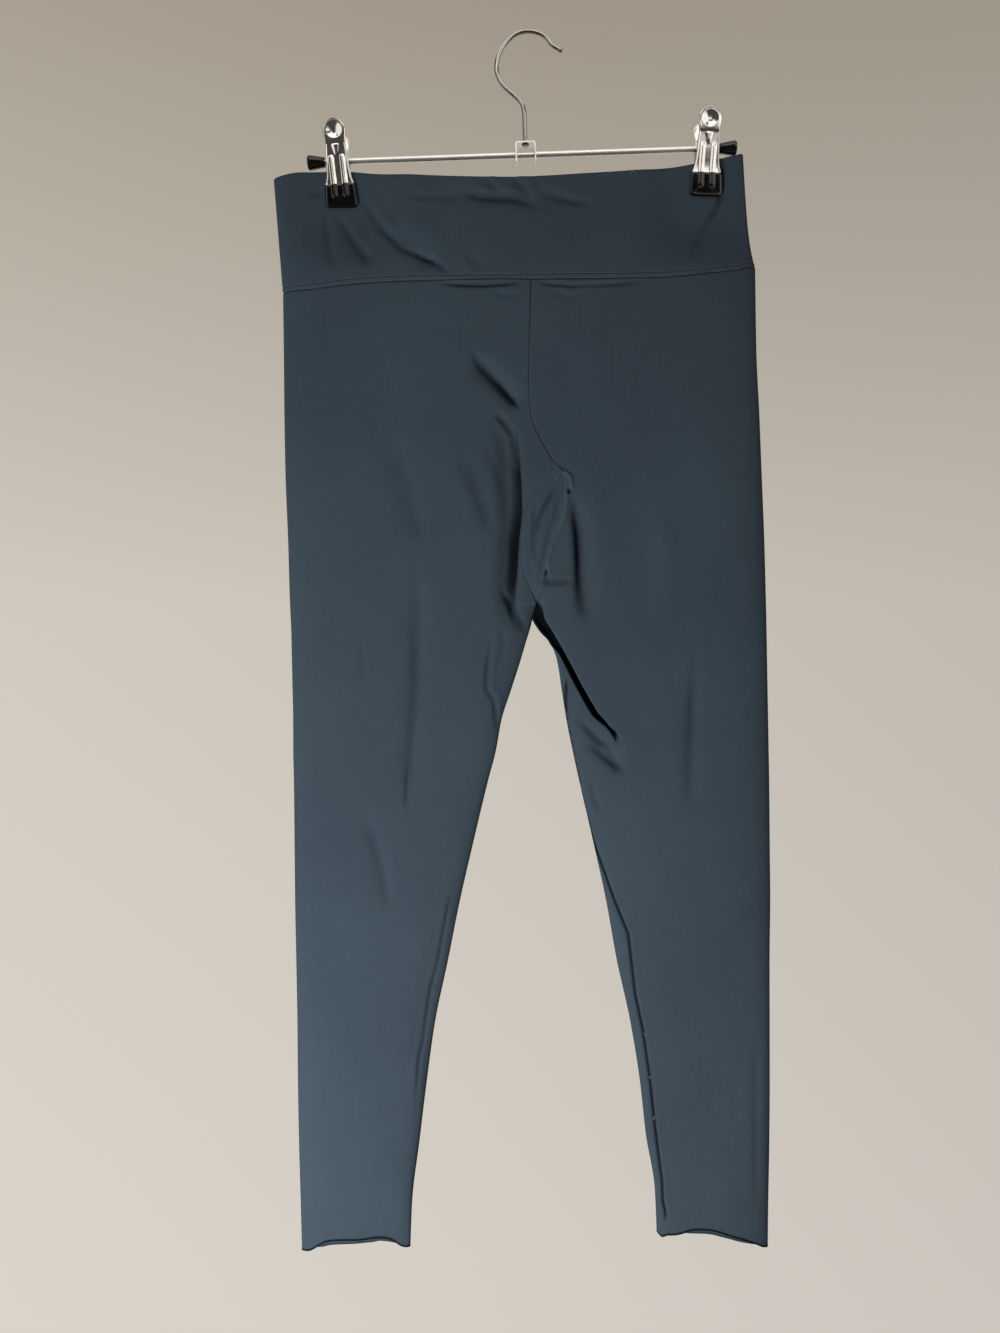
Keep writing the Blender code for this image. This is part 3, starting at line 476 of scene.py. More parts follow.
# %% The waistband's table
# It goes by the share of the way from the left edge to the right edge.
BAND_COLUMNS = ("across", "top_drop", "seam_drop")
BAND = (
    (0.00, 121.0, 216.0),
    (0.06, 116.5, 215.2),
    (0.15, 115.5, 211.5),
    (0.25, 119.0, 209.3),
    (0.40, 121.9, 208.2),
    (0.50, 122.4, 207.8),
    (0.65, 119.8, 207.2),
    (0.80, 115.3, 206.0),
    (0.90, 108.5, 202.4),
    (0.95, 104.5, 199.6),
    (1.00, 100.2, 194.5),
)
BAND_TOP_LEFT, BAND_TOP_RIGHT = -211.0, 178.5
WAIST_LEFT, WAIST_RIGHT = SECTIONS[0][1], SECTIONS[0][4]
BAND_FLARE_SHARE, BAND_FLARE_POWER = 0.45, 5.0
BAND_MOUTH_DEPTH = 8.0
CLIP_CENTRES = (-155.0, 147.0)
PINCH_HALF_WIDTH, PINCH_FADE = 17.0, 46.0
PINCH_BOTTOM, PINCH_BOTTOM_FADE = 152.0, 48.0
PINCH_DEPTH = 2.25
print("places across the band:", len(BAND))

# %% The hem's table
# How far the cut edge draws up, by the share of the way from the inseam to the outer edge.
HEM_COLUMNS = ("across", "left_front", "left_back", "right_front", "right_back")
HEM = (
    (0.00, 1.9, 1.9, 14.0, 14.0),
    (0.04, 2.4, 1.6, 11.9, 12.2),
    (0.09, 4.3, 1.4, 14.2, 12.5),
    (0.15, 8.4, 2.2, 14.9, 12.0),
    (0.22, 10.6, 3.0, 16.6, 10.8),
    (0.29, 11.2, 3.4, 18.9, 9.8),
    (0.36, 10.4, 2.2, 19.6, 9.6),
    (0.43, 9.5, 1.8, 19.6, 9.4),
    (0.51, 8.9, 1.2, 18.5, 8.6),
    (0.59, 8.9, 0.9, 16.3, 6.6),
    (0.67, 8.6, 0.7, 13.9, 4.7),
    (0.76, 7.7, 0.0, 11.3, 2.4),
    (0.83, 4.7, -1.3, 8.8, 1.4),
    (0.885, 1.5, -1.2, 6.7, 1.0),
    (0.93, -0.3, -1.0, 4.3, 0.9),
    (1.00, -1.0, -1.0, 2.0, 2.0),
)
HEM_FLATTENING, HEM_FLAT_LENGTH = 0.44, 70.0
print("places across the hem:", len(HEM))

# %% [markdown]
# ## Reading the form
#
# The depth of the tube rises steeply from each folded edge and then stays nearly flat, which is how a
# garment hangs when it has been pressed flat in a drawer. The rise is one minus an exponential. At the
# hips the inner edge is a seam in the middle of the front, so there the tube stays open.

# %% Functions of the form
SIDE_NAMES = {-1: "left", 1: "right"}


def section(wanted, drop):
    """A size of the two legs at a drop."""
    return from_table(SECTIONS, SECTION_COLUMNS, wanted, drop)


def centre(wanted, drop):
    """Where the centre seam, and below it the gusset's seams, lie at a drop."""
    return from_table(CENTRE, CENTRE_COLUMNS, wanted, drop)


def band(wanted, across):
    """A level of the waistband at a share of the way across it."""
    return from_table(BAND, BAND_COLUMNS, wanted, across)


def hem_rise(side, across, is_front):
    """How far a leg's cut edge draws up at a share of the way across it."""
    names = [f"{SIDE_NAMES[side]}_{face}" for face in ("front", "back")]
    return np.where(is_front, *[from_table(HEM, HEM_COLUMNS, name, across) for name in names])


def seam_level_shift(x):
    """How far the waist seam lies below its level at the centre, by x."""
    across = (x - WAIST_LEFT) / (WAIST_RIGHT - WAIST_LEFT)
    return band("seam_drop", np.clip(across, 0, 1)) - SEAM_LEVEL


def edge_openness(drop):
    """How far the tube is still open at its inner edge: wide at the hips, closed below the fork."""
    above = np.clip((FORK_DROP - drop) / (FORK_DROP - SEAM_LEVEL), 0, 1)
    return np.where(drop < CLOSED_DROP - 0.5, FORK_OPENING + HIP_OPENING * above, 0.0)


def tube_depth(to_outer, to_inner, drop):
    """Half the tube's depth: the section's depth times the root of (1 - e^-outer)(1 - e^-inner)."""
    reach = EDGE_ROUNDING * np.maximum(to_outer + to_inner, 1.0)
    outer = 1 - np.exp(-to_outer / reach)
    inner = 1 - np.exp(-to_inner / reach - edge_openness(drop))
    return section("depth", drop) * np.sqrt(np.maximum(outer * inner, 0))


def inner_edge_of(side, drop):
    """The seam or fold where a leg panel ends: the centre seam, the gusset's seam, then the inseam."""
    name = SIDE_NAMES[side]
    return np.where(drop <= FORK_DROP, centre(f"{name}_edge", drop), section(f"{name}_inner", drop))


print("half depth at the knee, 60 mm in:", round(float(tube_depth(60.0, 60.0, 720.0)), 2), "mm")

# %% [markdown]
# ## Creases
#
# Cloth could be dropped on the form by a simulation, but the creases of a garment that was folded and
# worn lie in known places. So each is placed as a line: broad soft troughs first, which the CAD
# solids share, and then fine ones with a small ridge along one side. No two are alike in length, width,
# depth or spacing.

# %% Broad troughs
# Each one: the (x, drop) points of its line, its half width and its depth, below 0 where the cloth swells.
FRONT_FOLDS = (
    (((-118, 164), (-96, 180), (-70, 199)), 8, 3.0),
    (((-152, 160), (-140, 178), (-129, 196)), 8, 2.0),
    (((-172, 138), (-166, 165), (-162, 198)), 8, 1.3),
    (((-88, 137), (-45, 139), (0, 141), (50, 142)), 8, 1.3),
    (((163, 134), (154, 154), (138, 182)), 6, 2.0),
    (((-48, 272), (-27, 292), (-5, 314)), 7, 5.0),
    (((-30, 317), (-22, 328), (-17, 345), (-14, 400), (-16, 450), (-17, 475), (-8, 505)), 8.5, 6.5),
    (((39, 384), (43, 412), (45, 438), (46, 458), (48, 495)), 7.5, 5.0),
    (((-110, 330), (-101, 378), (-89, 424)), 11, 2.2),
    (((-92, 440), (-91, 540), (-97, 602), (-99, 645)), 8, 2.8),
    (((-136, 640), (-122, 690), (-116, 732)), 8, 1.8),
    (((-68, 728), (-77, 780), (-86, 828), (-93, 860)), 7, 2.2),
    (((46, 572), (60, 589), (72, 602), (76, 616)), 8, 3.0),
    (((138, 540), (138, 575), (136, 605), (136, 650)), 9, 1.5),
    (((-20, 560), (-27, 580), (-31, 610)), 6, 1.6),
    (((108, 390), (112, 440), (109, 500)), 10, -1.3),
)
BACK_FOLDS = (
    (((-100, 150), (-80, 172), (-48, 200)), 8, 2.6),
    (((124, 150), (110, 172), (84, 200)), 8, 2.6),
    (((60, 262), (40, 290), (34, 330), (40, 372)), 9, 3.6),
    (((-36, 300), (-24, 340), (-22, 400), (-14, 470)), 9, 4.2),
    (((52, 400), (56, 450), (50, 500)), 8, 3.6),
    (((104, 420), (112, 520), (120, 600)), 10, 2.2),
    (((-106, 450), (-112, 540), (-120, 640)), 10, 2.4),
    (((-70, 700), (-92, 770), (-108, 840)), 9, 2.0),
    (((96, 700), (118, 760), (128, 840)), 9, 2.0),
)


def trough_depth(x, drop, folds):
    """The sum of the broad troughs: depth times e^-(away/half width)², fading at both ends of the line."""
    total = 0.0
    for line, half_width, depth in folds:
        away, share = along_line(x, drop, line)
        total = total + depth * bell(away / half_width) * soft_ends(share, 0.25, 0.75)
    return total


def broad_troughs(is_front, x, drop):
    """The troughs in front where the cloth is in front, and else those behind."""
    return np.where(is_front, trough_depth(x, drop, FRONT_FOLDS), trough_depth(x, drop, BACK_FOLDS))


print("broad troughs:", len(FRONT_FOLDS), "in front,", len(BACK_FOLDS), "behind")

# %% Fine creases in front
# Each one: the (x, drop) points of its line, its half width, its depth and the height of its ridge. A
# positive ridge lies along the right of a line that runs down, and a negative one along its left.
FRONT_CREASES = (
    (((-160, 150), (-155, 157), (-143, 175), (-134, 188), (-127, 200)), 2.8, 1.8, 0.6),
    (((-134, 146), (-120, 165), (-103, 182), (-89, 187), (-77, 193), (-67, 203)), 2.6, 1.5, 0.5),
    (((-96, 184), (-86, 188.5), (-76, 193.5), (-64, 205)), 2.0, 2.4, 0.8),
    (((-171, 138), (-166, 165), (-160, 204)), 2.6, 1.1, 0.3),
    (((-142, 133), (-135, 143), (-126, 156), (-116, 167.5), (-104, 177)), 2.4, 1.4, 0.5),
    (((-182, 136), (-172, 134), (-162, 131)), 2.0, 1.4, 0.3),
    (((-104, 138), (-80, 139.5), (-50, 138)), 2.4, 0.9, 0.3),
    (((-60, 134.5), (-48, 136.5), (-36, 138.5), (-24, 139.5), (-10, 139.8), (0, 144), (10, 148)),
     3.0, 2.9, 0.9),
    (((10, 135), (24, 139), (36, 142.5), (54, 146)), 2.8, 1.9, 0.5),
    (((-38, 123), (-30, 131), (-24, 140)), 2.6, 2.0, 0.7),
    (((-14, 123), (-5, 132), (1, 142)), 2.8, 2.2, 0.8),
    (((5, 123), (9, 131), (15, 139)), 2.4, 0.9, 0.3),
    (((-52, 184), (-46, 192), (-39, 202)), 2.2, 1.1, -0.3),
    (((162, 96), (161.5, 112), (160.6, 126), (158.8, 138), (155.6, 147), (151, 156), (146, 165)),
     2.1, 3.6, -0.8),
    (((156, 144), (150, 156), (143, 169), (136, 182), (131, 196)), 3.0, 1.2, -0.4),
    (((-76, 210.6), (-55, 212.2), (-37, 212.7), (-20, 211.7), (0, 209.6)), 1.7, 2.8, 0.7),
    (((6, 210.2), (20, 211.8), (34, 213.0), (48, 212.6)), 1.6, 1.9, 0.5),
    (((40, 213.4), (54, 212.6), (74, 211.2), (96, 209.4)), 1.6, 1.7, 0.5),
    (((-30, 218), (-16, 222), (-3, 221)), 2.4, 0.8, 0.3),
    (((18, 218), (34, 223), (48, 219)), 2.4, 0.8, 0.3),
    (((-51, 265), (-45, 271), (-31, 286), (-15, 304), (-4, 317)), 3.0, 2.4, -0.9),
    (((-30, 286), (-15, 304), (-6, 315)), 2.0, 1.5, 0.3),
    (((-30, 316), (-20, 325), (-13, 336), (-11, 352)), 2.6, 2.4, 0.4),
    (((-22, 460), (-13, 478), (-5, 491), (0, 502)), 3.0, 3.6, 0.3),
    (((-12, 318), (-10.5, 355), (-9.2, 380), (-9, 397), (-11.4, 420), (-12.4, 443), (-13.6, 462),
      (-13.5, 480), (-9, 495), (-5, 506)), 2.7, 6.4, 0.4),
    (((-10, 380), (-9.2, 397), (-11.2, 420), (-12.2, 443), (-13.6, 464)), 1.9, 3.0, 0.0),
    (((-10, 372), (-9, 397), (-11.4, 420), (-12.2, 443), (-14, 464), (-17, 480)), 4.5, 1.5, 0.0),
    (((-108, 342), (-95, 394), (-87, 430)), 3.4, 0.9, 0.35),
    (((-92.5, 423), (-91, 479), (-92, 539), (-96, 590), (-99.5, 638), (-100, 660)), 2.4, 1.5, -0.4),
    (((-91.5, 488), (-92, 512), (-92.5, 548)), 1.7, 1.3, 0.0),
    (((-98, 600), (-99.5, 622), (-100, 645)), 1.7, 1.2, 0.0),
    (((-56, 350), (-46, 372), (-38, 392), (-29, 420)), 5.6, 1.5, -0.2),
    (((-38, 340), (-27, 362), (-18, 384)), 3.6, 0.6, -0.1),
    (((-132, 644), (-126, 671), (-120, 694), (-116.5, 712), (-113, 731)), 3.2, 1.0, -0.4),
    (((-139, 494), (-137.5, 518), (-135, 545)), 2.4, 0.9, 0.3),
    (((-182, 600), (-182, 640)), 2.6, 0.4, 0.2),
    (((-30, 500), (-33.5, 528), (-34, 544), (-28, 553), (-25.7, 573), (-22, 590)), 2.0, 2.2, 0.9),
    (((-22, 490), (-20, 510), (-24, 526)), 2.6, 0.8, -0.3),
    (((35.6, 378), (39.0, 400), (41.2, 420), (42.0, 440), (42.8, 458), (44.4, 476), (46, 490)),
     3.3, 3.0, -0.6),
    (((39.8, 402), (41.7, 430), (42.4, 448), (43, 466)), 2.0, 3.2, 0.0),
    (((6, 455), (14, 455.6), (24, 456.2), (38, 455.2)), 1.7, 3.2, 0.9),
    (((24, 412), (20.5, 424), (17.6, 434), (16.4, 441), (17, 447), (18.8, 453.5), (21, 460)), 1.1, -1.1, 0.0),
    (((15.2, 443), (14.4, 450), (14.8, 460)), 1.4, 3.2, 0.0),
    (((137, 500), (135.5, 545), (133, 602), (131.5, 650)), 4.0, 1.2, 0.4),
    (((135.5, 538), (135.3, 552), (134.6, 572)), 1.8, 1.3, 0.0),
    (((187, 815), (187.5, 890), (187, 985)), 3.4, 0.7, 0.4),
    (((40, 566), (43.9, 572.3), (51.6, 579.9), (59.4, 587.8), (67.1, 590.9), (71, 592)), 2.2, 2.3, -0.7),
    (((49, 585), (56.3, 593.8), (66, 601.5), (75, 609.3), (80, 615)), 2.8, 1.8, -0.5),
    (((49, 618), (53, 632), (60, 648)), 2.4, 1.5, 0.4),
    (((64, 590), (73, 604), (82, 613)), 2.0, 0.9, 0.3),
)
print("fine creases in front:", len(FRONT_CREASES))

# %% Fine creases behind
BACK_CREASES = (
    (((-104, 146), (-84, 170), (-60, 190), (-46, 203)), 2.6, 1.3, 0.5),
    (((126, 144), (110, 170), (98, 188), (82, 202)), 2.8, 1.4, -0.5),
    (((-140, 150), (-132, 172), (-130, 196)), 3.0, 0.8, 0.3),
    (((-30, 213.5), (10, 214.5), (44, 212)), 1.7, 1.4, 0.5),
    (((66, 213), (92, 213.8), (112, 211.5)), 1.5, 1.0, 0.3),
    (((62, 258), (48, 276), (37, 300), (33, 334)), 3.0, 2.0, 0.8),
    (((-40, 292), (-27, 326), (-22, 372), (-19, 420), (-12, 468)), 3.0, 2.2, -0.8),
    (((52, 394), (57, 430), (55, 470), (49, 500)), 2.8, 1.8, 0.6),
    (((104, 416), (110, 470), (113, 530), (121, 606)), 3.4, 0.9, 0.4),
    (((-104, 440), (-112, 520), (-113, 570), (-122, 646)), 3.2, 1.0, -0.4),
    (((-62, 690), (-84, 744), (-98, 790), (-110, 846)), 3.0, 1.0, 0.4),
    (((94, 694), (112, 742), (122, 790), (130, 850)), 3.4, 1.1, -0.4),
    (((-40, 520), (-44, 548), (-36, 566), (-34, 592)), 2.0, 1.2, 0.5),
    (((58, 560), (70, 582), (84, 604)), 2.6, 1.5, 0.5),
    (((160, 560), (164, 640), (160, 720)), 4.0, 0.6, 0.3),
    (((-160, 820), (-158, 880), (-162, 950)), 3.6, 0.6, 0.3),
)
print("fine creases behind:", len(BACK_CREASES))

# %% Heights of the creases
# Painted shade at the bottom of a crease, per millimetre of its depth raised to 1.15.
CREASE_SHADE = 0.12


def crease_height(x, drop, creases):
    """The sum of the fine creases, -depth e^-(a/w)² + |ridge| e^-((a ∓ 2w)/1.3w)², with soft ends, and a
    painted shade: the deeper a crease, the darker its painted bottom, in place of the shade of a real fold
    that closes over it; a crease of negative depth gets a painted highlight."""
    total, dark, light = 0.0, 0.0, 0.0
    for line, half_width, depth, ridge in creases:
        away, share = along_line(x, drop, line)
        ends = soft_ends(share, 0.3, 0.7)
        beside = (away - math.copysign(2.0 * half_width, ridge)) / (1.3 * half_width)
        bottom = bell(away / half_width) * ends
        total = total + (abs(ridge) * bell(beside) * ends - depth * bottom)
        dark = np.maximum(dark, CREASE_SHADE * max(depth, 0.0) ** 1.15 * bottom)
        light = light + 0.25 * min(depth, 0.0) * bottom
    return total, dark + light


def fine_creases(is_front, x, drop):
    """Heights and painted shade from the creases in front, or from those behind where the cloth is behind."""
    return np.where(is_front, crease_height(x, drop, FRONT_CREASES), crease_height(x, drop, BACK_CREASES))


def slow_unevenness(x, drop, phase):
    """Half a millimetre of drift in the cloth, from three crossed sine waves of unlike lengths."""
    return (
        0.45 * np.sin(x / 37 + phase) * np.sin(drop / 61 + 0.4)
        + 0.25 * np.sin(x / 17 + drop / 45 + 2 * phase)
        + 0.12 * np.sin(x / 9 - drop / 23 + phase)
    )


print("a crease's height in its middle:", round(float(crease_height(-60, 138.7, FRONT_CREASES)[0]), 2), "mm")

# %% [markdown]
# ## The thigh's overhang
#
# Where the right leg was folded in storage, its front hangs over the cloth beside the inseam and leaves
# a dark pocket. A heightfield cannot overhang, so the points are also moved across the fold's line: those
# above it one way and those below it the other, which folds the sheet into a flat S.

# %% The overhang
FLAP_LINE = (
    (7.2, 470.4), (13.4, 481.2), (21.7, 493.5), (28.9, 505.7), (37.1, 521), (44.2, 535.3), (51.4, 548.7),
    (59, 561.9), (66.7, 570.4), (73.9, 581.9), (78, 589),
)
FLAP_FRONT_LIFT, FLAP_LIFT_REACH, FLAP_EDGE_ROUNDING = 26.0, 34.0, 1.5
LIFT_RISES, LIFT_FALLS = (425, 480), (580, 660)
FLAP_STEP, GAP_SHARE, GAP_EDGES, GAP_WIDE_ABOVE = 1.5, -0.5, (-8.1, -6.5), (500, 516)
FLAP_START, FLAP_FULL, FLAP_RELAX, FLAP_END = 470.6, 473.6, 600.0, 670.0
FLAP_ACROSS = np.array([0.858, -0.513])  # square to the line, to its right and upwards
LIP_OVERLAP, LIP_WIDTH, LIP_RISES = 12.0, 4.0, (473, 486)


def flap_strength(x, drop):
    """Distance from the overhang's line, how strong it is there, and 1 inside the gap below it."""
    away, share = along_line(x, drop, FLAP_LINE)
    wide = 1 + 0.6 * (1 - ease(drop, *GAP_WIDE_ABOVE)) - 0.4 * ease(share, 0.7, 1.0)
    strength = ease(drop, FLAP_START, FLAP_FULL) * (1 - ease(share, 0.84, 0.99))
    return away, strength, ease(away, GAP_EDGES[0] * wide, GAP_EDGES[1] * wide)


def with_flap(plain, to_outer, to_inner, x, drop):
    """Full above the fold's line, sunk behind the middle in the gap below it, and plain again beyond it."""
    away, strength, gap = flap_strength(x, drop)
    nearness = bell(away / FLAP_LIFT_REACH) * (1 - np.exp(-to_inner / FLAP_EDGE_ROUNDING))
    rising = ease(drop, *LIFT_RISES) * (1 - ease(drop, *LIFT_FALLS))
    lifted = tube_depth(to_outer, to_inner + FLAP_FRONT_LIFT * rising * nearness, drop)
    sunk = plain * (1 + (GAP_SHARE - 1) * gap)
    below = 0.5 - 0.5 * np.tanh(away / FLAP_STEP)
    return lifted + (sunk - lifted) * below * strength


def lip_shift(x, drop):
    """How far a point moves across the line: -overlap (away/width) e^-(away/width)²."""
    away, strength, _ = flap_strength(x, drop)
    return -LIP_OVERLAP * away / LIP_WIDTH * bell(away / LIP_WIDTH) * strength * ease(drop, *LIP_RISES)


most_moved = math.sqrt(0.5) * LIP_WIDTH  # where t e^-t² is largest
print("deepest overlap of the lip:", round(LIP_OVERLAP * math.sqrt(0.5 / math.e) - most_moved, 2), "mm")

# %% [markdown]
# ## Leg panels
#
# Each leg is one panel. It starts at the centre seam in front, goes round the outside of the leg and
# comes back to the centre seam behind, and below the fork its two edges meet in the inseam. The rows lie
# closest at the seams, the gusset and the hem, and the columns closest along the inseam, so the small
# forms get the faces. The cut hem has no sewing and curls forward a little, as jersey does.

# %% Rows and columns of a leg
LEG_WALL = 1.0
GUSSET_ROWS = 57
TOP_ROWS = np.array([0, 0.6, 1.2, 1.9, 2.7, 3.6, 4.6, 5.7, 6.9, 8.2, 9.6, 11.2, 13, 15, 17.2])
INNER_STEPS_FRONT, OUTER_COUNT_FRONT = ((16, 0.9), (42, 1.3)), 40
INNER_STEPS_BACK, OUTER_COUNT_BACK = ((6, 1.6), (8, 2.6)), 30
FLAP_COLUMNS, FLAP_SPAN, FLAP_KEEP = (10, 36), (13.0, 7.0), 62


def gusset_levels():
    """Drops of the rows shared with the gusset, from its apex down to the fork."""
    return APEX_DROP + (FORK_DROP - APEX_DROP) * np.linspace(0, 1, GUSSET_ROWS) ** 1.3


def leg_levels():
    """Drops of all the rows of a leg, from the waist seam to the hem."""
    hips = [SEAM_LEVEL + TOP_ROWS, np.linspace(228, 300, 25), np.linspace(302.4, 364.4, 27)]
    fork = [473.4, CLOSED_DROP, 477.2]
    legs = [np.linspace(479, 609, 66), np.linspace(612.5, 998, 108), np.linspace(999, HEM_LEVEL, 10)]
    return np.concatenate([*hips, gusset_levels(), fork, *legs])


def insets(width, steps, outer_count):
    """Distances from the inner edge for one row of each width: even runs first, then closing up outwards."""
    near = np.concatenate([[0.0], np.cumsum(np.concatenate([np.full(n, s) for n, s in steps]))])
    t = np.linspace(0, 1, outer_count + 1)[1:]
    far = near[-1] + (width - near[-1]) * (0.6 * t + 0.4 * np.sin(math.pi * t / 2))
    return np.concatenate([np.broadcast_to(near, (len(width), len(near))), far], axis=1)


def drawn_to_flap(base, level, inner, width):
    """The right leg's front columns, with a run of them drawn along the overhang's line, closely spaced."""
    line, count, keep = np.array(FLAP_LINE, float), base.shape[1], base[:, FLAP_KEEP]
    at = np.maximum(smooth_through(level, line[:, 1], line[:, 0]) - inner, 5.0)[:, 0]
    before, after = at - np.minimum(FLAP_SPAN[0], 0.7 * at), at + FLAP_SPAN[1]
    knots = np.stack([0 * at, before, after, np.maximum(keep, after + 12), width[:, 0]], axis=1)
    places = [0, *FLAP_COLUMNS, FLAP_KEEP, count - 1]
    drawn = np.array([np.interp(np.arange(count), places, row) for row in knots])
    stretch = (width - knots[:, 3:4]) / (width - keep[:, None])
    drawn = np.where(np.arange(count) > FLAP_KEEP, knots[:, 3:4] + (base - keep[:, None]) * stretch, drawn)
    weight = ease(level, FLAP_START - 32, FLAP_FULL + 3) * (1 - ease(level, FLAP_RELAX, FLAP_END))
    return base + (drawn - base) * weight


sample_row = insets(np.array([[200.0]]), INNER_STEPS_FRONT, OUTER_COUNT_FRONT)
print("rows of a leg:", len(leg_levels()), "columns in front:", sample_row.size)

# %% The inseam, the knots and the hem
# The inseam of each leg has turned to the front here, and shows as a narrow groove.
RIGHT_INSEAM = (
    (31.5, 533), (31, 555), (32.5, 575), (35.8, 594.7), (43.1, 626.6), (53.8, 669.2), (61.2, 690.5),
    (71.8, 720), (82.5, 746), (88.2, 795.4), (94.7, 825.7), (100.5, 865.8), (103.7, 897.7), (108.6, 937),
    (110.3, 949), (110.9, 966), (112.9, 975), (112.9, 985),
)
LEFT_INSEAM = (
    (-61, 706), (-66.6, 725), (-70.7, 748), (-74.8, 770), (-80.5, 791), (-84.6, 817), (-86, 830),
    (-90, 848), (-92, 872), (-93.5, 900),
)
# Each inseam: its line, the shares of it between which it is whole, its depth and the painted
# shade in its groove.
INSEAMS = {1: (RIGHT_INSEAM, 0.02, 0.98, 1.0, 1.1), -1: (LEFT_INSEAM, 0.12, 0.75, 0.6, 0.8)}
INSEAM_GROOVE, INSEAM_HALF_WIDTH = 1.5, 1.05
PUFF_HEIGHT, PUFF_PLACE, PUFF_WIDTH = 0.45, 3.2, 2.0
APEX_RIM = ((20.5, 374), (24, 369.8), (27, 365.8), (31, 367), (34.4, 371), (35.6, 376), (35, 383))
RIM_HEIGHT, RIM_WIDTH = 1.7, 1.6
APEX_HOLE, HOLE_WIDTH, HOLE_HEIGHT, HOLE_DEPTH = (33.2, 381.9), 1.4, 1.6, 3.2
GUSSET_RIDGE, GUSSET_RIDGE_WIDTH = 1.5, 1.7
HEM_CURL, HEM_CURL_LENGTH = 3.2, 4.5


def inseam_relief(side, x, drop):
    """A groove along the inseam, -depth e^-(away/half width)², a puff beside it, and its painted shade."""
    line, risen, falling, depth, painted_groove_shade = INSEAMS[side]
    away, share = along_line(x, drop, line)
    ends = soft_ends(share, risen, falling)
    cut = bell(away / INSEAM_HALF_WIDTH) * ends * depth
    puffed = PUFF_HEIGHT * bell((np.abs(away) - PUFF_PLACE) / PUFF_WIDTH) * ends
    return puffed - INSEAM_GROOVE * cut, painted_groove_shade * cut


def apex_relief(x, drop):
    """The lump of sewn layers over the gusset's apex and the pinhole that its folded corner leaves, and the
    painted shade in the pinhole.
    """
    away, share = along_line(x, drop, APEX_RIM)
    rim = RIM_HEIGHT * bell(away / RIM_WIDTH) * soft_ends(share, 0.2, 0.85)
    hole = bell(np.hypot((x - APEX_HOLE[0]) / HOLE_WIDTH, (drop - APEX_HOLE[1]) / HOLE_HEIGHT))
    return rim - HOLE_DEPTH * hole, 1.2 * hole


def gusset_ridge(away, drop):
    """The ridge of the gusset's right seam: height sin(pi along)^0.6 e^-(away/width)²."""
    along = np.clip((drop - APEX_DROP) / (FORK_DROP - APEX_DROP), 0, 1)
    return GUSSET_RIDGE * np.sin(math.pi * along) ** 0.6 * bell(away / GUSSET_RIDGE_WIDTH)


def curl_hem(points, normals, level, amount):
    """Rolls the last few millimetres: along by r sin(a) and outwards by r(1 - cos(a)), a the arc turned."""
    start = int(np.searchsorted(level[:, 0], HEM_LEVEL - HEM_CURL_LENGTH))
    run = run_length(points, 0) - run_length(points, 0)[start]
    radius = HEM_CURL / np.maximum(amount, 0.05)
    down = unit(points[start] - points[start - 2])
    angle = run / radius
    rolled = points[start] + down * (radius * np.sin(angle))[..., None]
    rolled = rolled + normals[start] * (radius * (1 - np.cos(angle)))[..., None]
    return np.where((level > level[start])[..., None], rolled, points)


print("inseam groove:", INSEAM_GROOVE, "mm deep")

# %% The form of a leg
LEVEL_FADE = 155.0  # over this much drop the rows bend to the waist seam above and to the cut edge below


def leg_form(side):
    """A leg without its relief: x runs from the inner edge by the inset, y is the sway and the tube's depth
    forwards or backwards, and z follows the level. Returned with all that the relief reads."""
    name = SIDE_NAMES[side]
    level = leg_levels()[:, None]
    inner, outer = inner_edge_of(side, level), section(f"{name}_outer", level)
    width = np.abs(outer - inner)
    front = insets(width, INNER_STEPS_FRONT, OUTER_COUNT_FRONT)
    back = insets(width, INNER_STEPS_BACK, OUTER_COUNT_BACK)
    if side > 0:
        front = drawn_to_flap(front, level, inner, width)
    inset = np.concatenate([front, back[:, ::-1][:, 1:]], axis=1)
    is_front = (np.arange(inset.shape[1]) < front.shape[1])[None, :]
    folded = is_front & (side > 0)
    x, share = inner + side * inset, inset / width
    depth = tube_depth(width - inset, inset, level)
    depth = depth * (1 - HEM_FLATTENING * ease(level, HEM_LEVEL - HEM_FLAT_LENGTH, HEM_LEVEL - 4))
    depth = np.where(folded, with_flap(depth, width - inset, inset, x, level), depth)
    fullness = depth / section("depth", level)
    depth = depth - broad_troughs(is_front, x, level) * fullness**2
    y = section(f"{name}_sway", level) + np.where(is_front, -depth, depth)
    near_top = 1 - ease(level, SEAM_LEVEL, SEAM_LEVEL + LEVEL_FADE)
    near_hem = ease(level, HEM_LEVEL - LEVEL_FADE, HEM_LEVEL)
    drop = level + (seam_level_shift(x) + 0.1) * near_top - hem_rise(side, share, is_front) * near_hem
    moved = lip_shift(x, level) * folded
    points = np.stack([x + moved * FLAP_ACROSS[0], y, -(drop + moved * FLAP_ACROSS[1])], axis=-1)
    return SimpleNamespace(
        level=level, inset=inset, width=width, share=share, is_front=is_front, x=x, drop=drop,
        fullness=fullness, points=points,
    )


print("a leg's grid:", leg_form(-1).x.shape)

# %% The relief of a leg
# Painted shade in the centre and waist grooves, and painted highlight on the gusset's ridge and apex lump.
CENTRE_GROOVE, CENTRE_GROOVE_WIDTH, CENTRE_GROOVE_SHADE = 0.25, 0.9, 0.06
WAIST_GROOVE, WAIST_GROOVE_WIDTH, WAIST_GROOVE_SHADE = 0.4, 0.8, 0.3
RIDGE_LIGHT, LUMP_LIGHT = 0.27, 0.15
FORK_CALM = 14.0


def pocket_shade(leg):
    """The painted shade of the right leg in the gap under its overhang, and behind that, inside the fork."""
    away, strength, gap = flap_strength(leg.x, leg.level)
    under = gap * (1 - ease(away, -1.0, 2.0)) * strength
    beside_fork = ease(leg.level, FORK_DROP, FORK_DROP + 3) * (1 - ease(leg.level, 508, 526))
    return np.where(leg.is_front, under, beside_fork * (1 - ease(leg.inset, 3, 6)))


